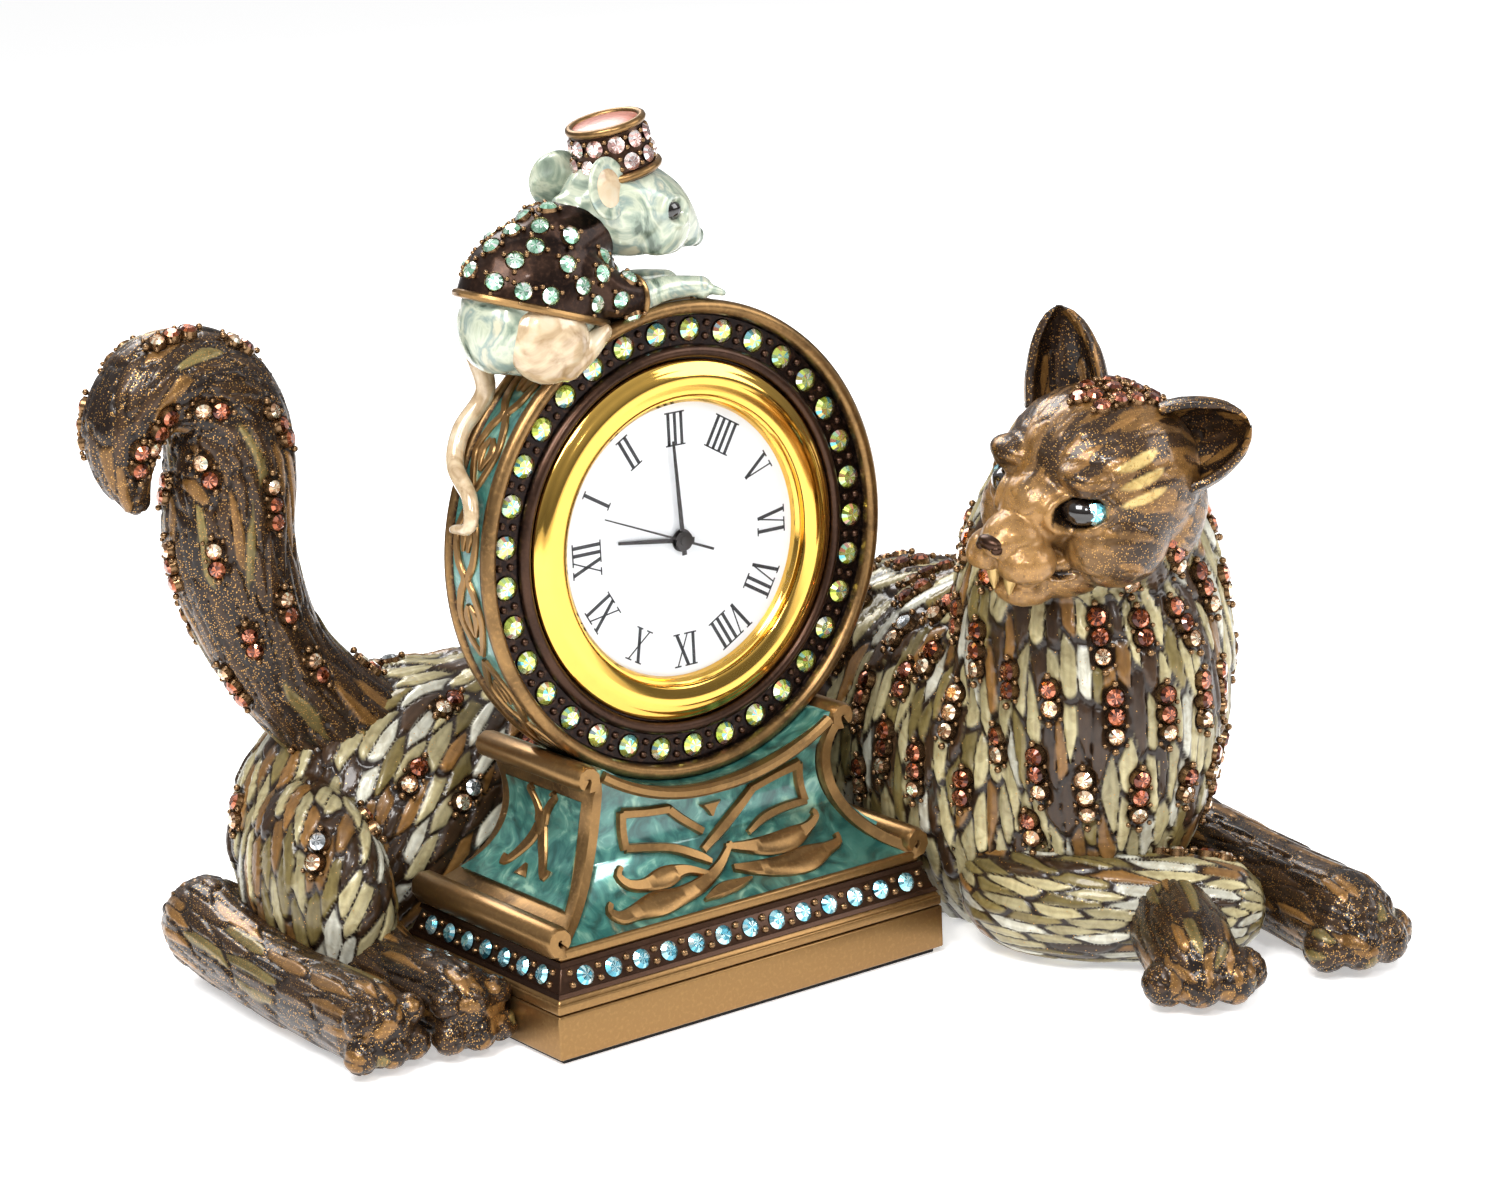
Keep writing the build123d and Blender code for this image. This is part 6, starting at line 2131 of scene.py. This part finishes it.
    def build_face(self, at: object, turn: Matrix) -> None:
        """The eyes with their aqua stones, the nose leather and the teeth.

        Args:
            at: Turns a head place into a point.
            turn: The head's turn.
        """
        eyes = bmesh.new()
        stones = []
        for side in (1, -1):
            add_ball(eyes, tuple(at((7.6, side * 4.5, -0.6))), (2.5, 2.4, 1.7), turn)
            facing = turn @ Vector((0.62, side * 0.78, 0.05))
            place = at((7.3, side * 5.3, -0.5)) + facing * 1.5
            stones.append(Seat(tuple(place), tuple(facing), 1.15))
        finish_piece("cat_eye_balls", to_mesh(eyes), Finishes.EYE, nodes=("cat_eyes",))
        gem_piece("cat_eye_stones", stones, Finishes.AQUA, seed=SEED + 9)
        nose = bmesh.new()
        add_ball(nose, tuple(at((16.0, 0, -4.0))), (0.9, 1.45, 0.8), turn)
        for side in (1, -1):
            add_ball(nose, tuple(at((15.9, side * 0.95, -4.4))), (0.8, 0.6, 0.6), turn)
        finish_piece("cat_nose_leather", to_mesh(nose), Finishes.DARK_BRONZE)
        teeth = bmesh.new()
        for side in (1, -1):
            root, tip = at((13.6, side * 1.1, -7.4)), at((13.2, side * 1.0, -9.6))
            tube(teeth, [(*root, 0.75), (*((root + tip) / 2), 0.6), (*tip, 0.2)], 10, 0.3)
        ivory = Finish("tooth_ivory", (0.62, 0.42, 0.16), metallic=0.5, roughness=0.25)
        finish_piece("cat_teeth", to_mesh(teeth), ivory)

    def ear(
        self, shape: bmesh.types.BMesh, base: Row, tip: Row, opening: Row, width: float, thick: float
    ) -> None:
        """A cupped ear: a curved sheet that narrows to its tip.

        Args:
            shape: The bmesh that it is added to.
            base: The middle of its root, on the head's axes.
            tip: Its tip, on the head's axes.
            opening: The way that it is cupped, on the head's axes.
            width: Half its width at the root.
            thick: How thick the sheet is.
        """
        low, high = self.head.place(base), self.head.place(tip)
        axis = (high - low).normalized()
        out = self.head.matrix().to_3x3() @ Vector(opening)
        out = (out - axis * out.dot(axis)).normalized()
        side = axis.cross(out)
        rings = []
        for number in range(15):
            share = number / 14
            reach = width * (1 - share**2.1) ** 0.62 + 0.25
            centre = low.lerp(high, share) - out * (0.35 * reach)
            ring = []
            for turn in range(13):
                angle = math.radians(-118 + 236 * turn / 12)
                ring.append(centre - out * math.cos(angle) * reach * 0.8 + side * math.sin(angle) * reach)
            for turn in range(13):
                angle = math.radians(118 - 236 * turn / 12)
                inner = max(reach - thick, 0.1)
                ring.append(centre - out * math.cos(angle) * inner * 0.8 + side * math.sin(angle) * inner)
            rings.append(ring)
        sweep(shape, rings)

    def build_ears(self) -> None:
        """The two cupped ears."""
        tones = ((BROWN, 0.5), (UMBER, 0.3), (OCHRE, 0.2))
        for name, base, tip, opening, width in (
            ("near", (-1.6, 7.4, 4.6), (-6.2, 13.0, 8.4), (1.0, 0.35, 0.1), 4.7),
            ("far", (0.4, -5.2, 6.0), (-1.6, -9.2, 15.0), (0.85, 0.5, 0.0), 4.2),
        ):
            clay = Clay()
            self.ear(clay.shape, base, tip, opening, width, 0.9)
            mesh = clay.skin(0.2, 3)
            way = self.head.matrix().to_3x3() @ (Vector(tip) - Vector(base))
            guides = ((*self.head.place(base), *way), (*self.head.place(tip), *way))
            Fur(guides, 4.0, 0.7, 0.12, tones, SEED + 4, 0.0).comb(mesh, [])
            node = ("cat_ears",) if name == "near" else ()
            finish_piece(
                f"cat_{name}_ear_skin", mesh, Finishes.GLITTER, nodes=node,
                smooth_angle=SKIN_ANGLE,
            )


# ---------------------------------------------------------------- mouse
@dataclass
class Mouse:
    """The mouse in a jewelled jacket and fez, leaning over the drum."""

    middle: float = -2.2
    lean: float = 20.0
    hat_low: Row = (-3.9, -2.2, 84.2)
    hat_height: float = 4.7
    hat_stones: int = 11
    hem_place: Row = (-15.0, 0.0, 72.2)
    hem_facing: Row = (0.3, 0.0, 0.95)

    def build(self) -> None:
        """Builds the whole mouse."""
        self.build_body()
        self.build_head()
        self.build_jacket()
        self.build_hat()

    def body_turn(self) -> Matrix:
        """The body's lean."""
        return Matrix.Rotation(math.radians(-self.lean), 4, "Y")

    def build_body(self) -> None:
        """The body with its thighs, arms and tail."""
        clay = Clay()
        clay.ball((-14.2, self.middle, 72.6), (8.2, 5.0, 7.0), self.body_turn())
        clay.ball((-19.0, self.middle, 70.6), (3.4, 4.4, 4.4))
        mesh = clay.skin(0.22, 8)
        finish_piece(
            "mouse_body_skin", mesh, Finishes.MOUSE, nodes=("mouse_body",),
            smooth_angle=SKIN_ANGLE,
        )
        thighs = Clay()
        for side in (-1, 1):
            y = self.middle + side * 3.4
            thighs.ball((-15.2, y, 69.4), (4.6, 2.7, 4.3), Matrix.Rotation(0.5, 4, "Y"))
            thighs.limb(
                [
                    (-13.5, y + side * 0.4, 66.6, 1.5), (-11.2, y + side * 0.5, 67.9, 1.3),
                    (-9.0, y + side * 0.4, 69.4, 0.9),
                ]
            )
        finish_piece(
            "mouse_thighs", thighs.skin(0.2, 5), Finishes.THIGH, smooth_angle=SKIN_ANGLE
        )
        arms = Clay()
        for side in (-1, 1):
            y = self.middle + side * 2.9
            arms.limb(
                [
                    (-7.4, y, 72.6, 1.7), (-4.6, y, 71.9, 1.5), (-1.0, y, 72.4, 1.25), (2.4, y, 72.2, 1.05),
                    (3.4, y, 71.9, 1.2),
                ]
            )
            for spread in (-0.8, 0.0, 0.8):
                arms.limb(
                    [
                        (3.0, y + spread * 0.6, 71.9, 0.6), (4.4, y + spread, 71.6, 0.5),
                        (5.4, y + spread * 1.2, 71.2, 0.35),
                    ]
                )
        finish_piece(
            "mouse_arm_skin", arms.skin(0.18, 3), Finishes.MOUSE, nodes=("mouse_arms",),
            smooth_angle=SKIN_ANGLE,
        )
        tail = bmesh.new()
        points = []
        for angle, y in ((137, 1.2), (147, 1.6), (155, 0.4), (161, -3.4), (167, -4.2), (168.6, -1.6)):
            turn = math.radians(angle)
            points.append((25.1 * math.cos(turn), y, DRUM_Z + 25.1 * math.sin(turn)))
        sizes = (1.0, 0.95, 0.9, 0.8, 0.7, 0.45)
        path = [(-19.6, 0.4, 68.3, 1.2), *((*point, size) for point, size in zip(points, sizes))]
        tube(tail, path, 14, 0.5)
        finish_piece(
            "mouse_tail_skin", to_mesh(tail), Finishes.THIGH, nodes=("mouse_tail",),
            smooth_angle=SKIN_ANGLE,
        )

    def build_head(self) -> None:
        """The head with its nose, eyes and cupped ears."""
        y = self.middle
        clay = Clay()
        clay.limb(
            [
                (-9.6, y, 80.6, 2.2), (-6.6, y, 80.9, 4.5), (-2.8, y, 80.3, 4.9), (0.8, y, 79.0, 3.9),
                (3.4, y, 77.5, 2.3), (4.8, y, 76.6, 1.2),
            ]
        )
        for side in (-1, 1):
            clay.ball((-1.0, y + side * 2.6, 78.2), (3.4, 2.0, 2.6))
            clay.ball((3.6, y + side * 0.9, 76.6), (1.4, 0.9, 0.9))
        clay.ball((1.4, y, 75.9), (2.0, 1.3, 0.8))
        mesh = clay.skin(0.2, 6)
        places, normals = read_skin(mesh)
        move = np.zeros(len(places))
        for side in (-1, 1):
            gap = np.linalg.norm((places - np.array((0.1, y + side * 4.0, 80.0))) / (1.35, 1.6, 1.1), axis=1)
            move -= 0.75 * (1 - ease(gap, 0.5, 1.1))
            move += 0.28 * np.exp(-(((gap - 1.3) / 0.2) ** 2))
        write_skin(mesh, places + normals * move[:, None])
        finish_piece(
            "mouse_head_skin", mesh, Finishes.MOUSE, nodes=("mouse_head",),
            smooth_angle=SKIN_ANGLE,
        )
        eyes, tips, ears, cups = bmesh.new(), bmesh.new(), bmesh.new(), bmesh.new()
        for side in (-1, 1):
            add_ball(eyes, (-0.2, y + side * 3.3, 80.0), (1.35, 0.8, 1.1))
            flare = Matrix.Rotation(math.radians(-side * 18), 4, "Z") @ Matrix.Rotation(
                math.radians(side * 8), 4, "X"
            )
            place = Matrix.Translation((-7.9, y + side * 4.3, 83.2)) @ flare
            made = bmesh.ops.create_uvsphere(ears, u_segments=40, v_segments=24, radius=1.0)["verts"]
            for vert in made:
                reach = math.hypot(vert.co.x, vert.co.z)
                hollow = 0.75 * (1 - reach**2) if vert.co.y * side > 0 else 0.0
                thick = vert.co.y * 0.75 - side * hollow
                vert.co = place @ Vector((vert.co.x * 2.95, thick, vert.co.z * 3.05))
            add_ball(cups, tuple(place @ Vector((0, side * -0.05, 0))), (2.1, 0.35, 2.2), flare)
        add_ball(tips, (5.3, y, 76.5), (0.6, 0.65, 0.55))
        finish_piece("mouse_eye_balls", to_mesh(eyes), Finishes.EYE, nodes=("mouse_eyes",))
        finish_piece("mouse_nose_tip", to_mesh(tips), Finishes.PEACH)
        finish_piece(
            "mouse_ear_shells", to_mesh(ears), Finishes.MOUSE, nodes=("mouse_ears",),
            smooth_angle=SKIN_ANGLE,
        )
        finish_piece("mouse_ear_cups", to_mesh(cups), Finishes.THIGH)

    def build_jacket(self) -> None:
        """The dark jacket with its bronze hem, sleeves, collar and mint stones."""
        y = self.middle
        clay = Clay()
        clay.ball((-14.0, y, 73.2), (8.9, 5.7, 7.5), self.body_turn())
        clay.limb([(-12.0, y, 77.5, 4.6), (-8.4, y, 78.6, 3.6)])
        for side in (-1, 1):
            clay.limb(
                [
                    (-11.0, y + side * 2.6, 75.0, 3.0), (-7.6, y + side * 3.0, 72.8, 2.4),
                    (-5.2, y + side * 3.0, 72.2, 2.1),
                ]
            )
        mesh = clay.skin(0.22, 7)
        shape = bmesh.new()
        shape.from_mesh(mesh)
        cut = bmesh.ops.bisect_plane(
            shape,
            geom=[*shape.verts, *shape.edges, *shape.faces],
            plane_co=self.hem_place,
            plane_no=self.hem_facing,
            clear_inner=True,
        )["geom_cut"]
        loop = [item for item in cut if isinstance(item, bmesh.types.BMEdge)]
        points = sorted(
            {tuple(vert.co) for edge in loop for vert in edge.verts},
            key=lambda p: math.atan2(p[1] - y, p[0] + 14.0),
        )
        bmesh.ops.holes_fill(shape, edges=loop, sides=0)
        finish_piece(
            "mouse_jacket_shell", to_mesh(shape, False), Finishes.DARK_BRONZE,
            nodes=("mouse_jacket",), smooth_angle=60,
        )
        hem = bmesh.new()
        ring = [(*point, 0.42) for point in points[:: max(1, len(points) // 48)]]
        tube(hem, [*ring, ring[0]], 8, 0.6)
        for side in (-1, 1):
            cuff = Matrix.Translation((-4.4, y + side * 3.0, 72.1)) @ Matrix.Rotation(math.pi / 2, 4, "Y")
            bmesh.ops.create_uvsphere(
                hem, u_segments=24, v_segments=12, radius=1.0,
                matrix=cuff @ Matrix.Diagonal((2.25, 2.25, 0.6, 1)),
            )
        finish_piece("mouse_jacket_hem", to_mesh(hem), Finishes.BRONZE)
        skin, normals = read_skin(mesh)
        stones, beads = [], []
        level = skin @ np.array(self.hem_facing) - (np.array(self.hem_place) @ np.array(self.hem_facing))
        open_skin = np.flatnonzero((level > 1.1) & (skin[:, 0] < -5.5))
        taken: list[np.ndarray] = []
        draw = np.random.default_rng(SEED + 11)
        for number in draw.permutation(open_skin):
            point = skin[number]
            if taken and min(np.linalg.norm(point - other) for other in taken) < 2.5:
                continue
            if np.linalg.norm(point - np.array((-6.5, y, 80.5))) < 5.4:
                continue
            taken.append(point)
            stones.append(
                Seat(tuple(point + normals[number] * 0.12), tuple(normals[number]), 0.86, float(number))
            )
        for seat in stones:
            facing = Vector(seat.facing)
            side = facing.orthogonal().normalized()
            for turn in (0.4, 2.5, 4.6):
                spot = Vector(seat.place) + Matrix.Rotation(turn, 3, facing) @ side * 1.22
                beads.append(Seat(tuple(spot - facing * 0.05), seat.facing, 0.27))
        gem_piece(
            "jacket_mint_stones", stones, Finishes.MINT, ("jacket_crystals",), SEED + 12
        )
        finish_piece(
            "jacket_stone_collars", SETTER.set_cups(stones, 0.4), Finishes.BEAD_BRONZE
        )
        finish_piece("jacket_beads", SETTER.set_beads(beads), Finishes.BEAD_BRONZE)

    def build_hat(self) -> None:
        """The fez: a dark drum with two rows of pink stones, bronze rims and a peach top."""
        up = Vector((-0.22, 0, 1)).normalized()
        across = Vector((1, 0, 0.22)).normalized()
        turn = Matrix((across, up.cross(across), up)).transposed().to_4x4()
        place = Matrix.Translation(self.hat_low) @ turn
        low, high = 4.1, 3.5
        shape = bmesh.new()
        middle = place @ Matrix.Translation((0, 0, self.hat_height / 2 - 0.3))
        bmesh.ops.create_cone(
            shape, cap_ends=True, segments=64, radius1=low, radius2=high, depth=self.hat_height + 0.6,
            matrix=middle,
        )
        soften(shape, 0.15)
        finish_piece("hat_side", to_mesh(shape), Finishes.DARK_BRONZE, nodes=("mouse_hat",))
        rims = bmesh.new()
        for height, radius in ((0.0, low + 0.05), (self.hat_height, high + 0.1)):
            path = [
                (*(place @ Vector((radius * math.cos(a), radius * math.sin(a), height))), 0.42)
                for a in (2 * math.pi * k / 36 for k in range(37))
            ]
            tube(rims, path, 10, 0.5)
        finish_piece("hat_rims", to_mesh(rims), Finishes.BRONZE)
        top = bmesh.new()
        dome = place @ Matrix.Translation((0, 0, self.hat_height - 0.05)) @ Matrix.Diagonal(
            (high - 0.1, high - 0.1, 0.5, 1)
        )
        bmesh.ops.create_uvsphere(top, u_segments=40, v_segments=20, radius=1.0, matrix=dome)
        finish_piece("hat_top_enamel", to_mesh(top), Finishes.PEACH, nodes=("hat_top",))
        stones, beads = [], []
        for row, height in enumerate((1.35, 3.25)):
            radius = low + (high - low) * height / self.hat_height
            for number in range(self.hat_stones):
                angle = 2 * math.pi * (number + 0.5 * row) / self.hat_stones
                facing = turn.to_3x3() @ Vector((math.cos(angle), math.sin(angle), 0.13))
                spot = place @ Vector((radius * math.cos(angle), radius * math.sin(angle), height))
                stones.append(Seat(tuple(spot + facing * 0.1), tuple(facing), 0.84, number * 0.6))
                half = angle + math.pi / self.hat_stones
                for lift in (-0.5, 0.5):
                    spot = place @ Vector((radius * math.cos(half), radius * math.sin(half), height + lift))
                    beads.append(Seat(tuple(spot), tuple(facing), 0.3))
        gem_piece("hat_pink_stones", stones, Finishes.PINK, ("hat_crystals",), SEED + 13)
        finish_piece("hat_beads", SETTER.set_beads(beads), Finishes.BEAD_BRONZE)


# ---------------------------------------------------------------- studio
@dataclass
class Studio:
    """A plain pale floor, soft lights and the camera."""

    eye: Row = (-214.141, -308.241, 135.344)
    right: Row = (0.79952686, -0.59901877, -0.04396952)
    up: Row = (0.18258058, 0.17264798, 0.96791374)
    back: Row = (-0.57220725, -0.78190101, 0.24740589)
    lens: float = 92.05

    def build(self) -> None:
        """Sets the camera, the floor and the lights."""
        lens = bpy.data.cameras.new("camera")
        lens.lens = self.lens
        lens.sensor_width = 36.0
        camera = bpy.data.objects.new("camera", lens)
        turn = Matrix((self.right, self.up, self.back)).transposed().to_4x4()
        camera.matrix_world = Matrix.Translation(Vector(self.eye) * MM) @ turn
        bpy.context.scene.collection.objects.link(camera)
        bpy.context.scene.camera = camera
        bpy.context.scene.view_settings.view_transform = "Standard"
        floor_shape = bmesh.new()
        bmesh.ops.create_grid(floor_shape, x_segments=1, y_segments=1, size=3.0)
        floor = bpy.data.objects.new("floor", to_mesh(floor_shape))
        bpy.context.scene.collection.objects.link(floor)
        white = Finish("floor_white", (0.93, 0.93, 0.93), roughness=0.8, variation=0.0).material()
        glow = white.node_tree.nodes["Principled BSDF"].inputs
        glow["Emission Color"].default_value = (1.0, 1.0, 1.0, 1.0)
        glow["Emission Strength"].default_value = 0.45
        floor.data.materials.append(white)
        world = bpy.data.worlds.new("studio")
        bpy.context.scene.world = world
        world.use_nodes = True
        sky, links = world.node_tree.nodes, world.node_tree.links
        where, split, ramp = (
            sky.new(f"ShaderNode{kind}") for kind in ("TexCoord", "SeparateXYZ", "ValToRGB")
        )
        links.new(where.outputs["Generated"], split.inputs[0])
        links.new(split.outputs["Z"], ramp.inputs["Fac"])
        ramp.color_ramp.elements[0].position, ramp.color_ramp.elements[0].color = 0.05, (0.28, 0.28, 0.29, 1)
        ramp.color_ramp.elements[1].position, ramp.color_ramp.elements[1].color = 0.75, (1, 1, 1, 1)
        links.new(ramp.outputs["Color"], sky["Background"].inputs["Color"])
        sky["Background"].inputs["Strength"].default_value = 0.62
        lights = (
            ("key", (-0.32, -0.22, 0.5), 0.26, 3.4),
            ("fill", (0.4, -0.34, 0.3), 0.3, 1.3),
            ("back", (0.1, 0.45, 0.5), 0.35, 3.0),
            ("spark", (-0.12, -0.4, 0.34), 0.05, 0.7),
        )
        for name, place, size, power in lights:
            lamp = bpy.data.lights.new(name, "AREA")
            lamp.size, lamp.energy = size, power
            light = bpy.data.objects.new(name, lamp)
            aim = (Vector((0, 0, 0.04)) - Vector(place)).to_track_quat("-Z", "Y")
            light.matrix_world = Matrix.Translation(place) @ aim.to_matrix().to_4x4()
            bpy.context.scene.collection.objects.link(light)


def main() -> None:
    """Builds the clock, sub-assembly by sub-assembly."""
    logging.basicConfig(level=logging.INFO, format="%(message)s")
    Studio().build()
    for part in (Base(), Pedestal(), Drum(), Insert(), Mouse(), Cat()):
        LOG.info("building %s", type(part).__name__)
        part.build()
    dress_cad_nodes()


if __name__ == "__main__":
    main()
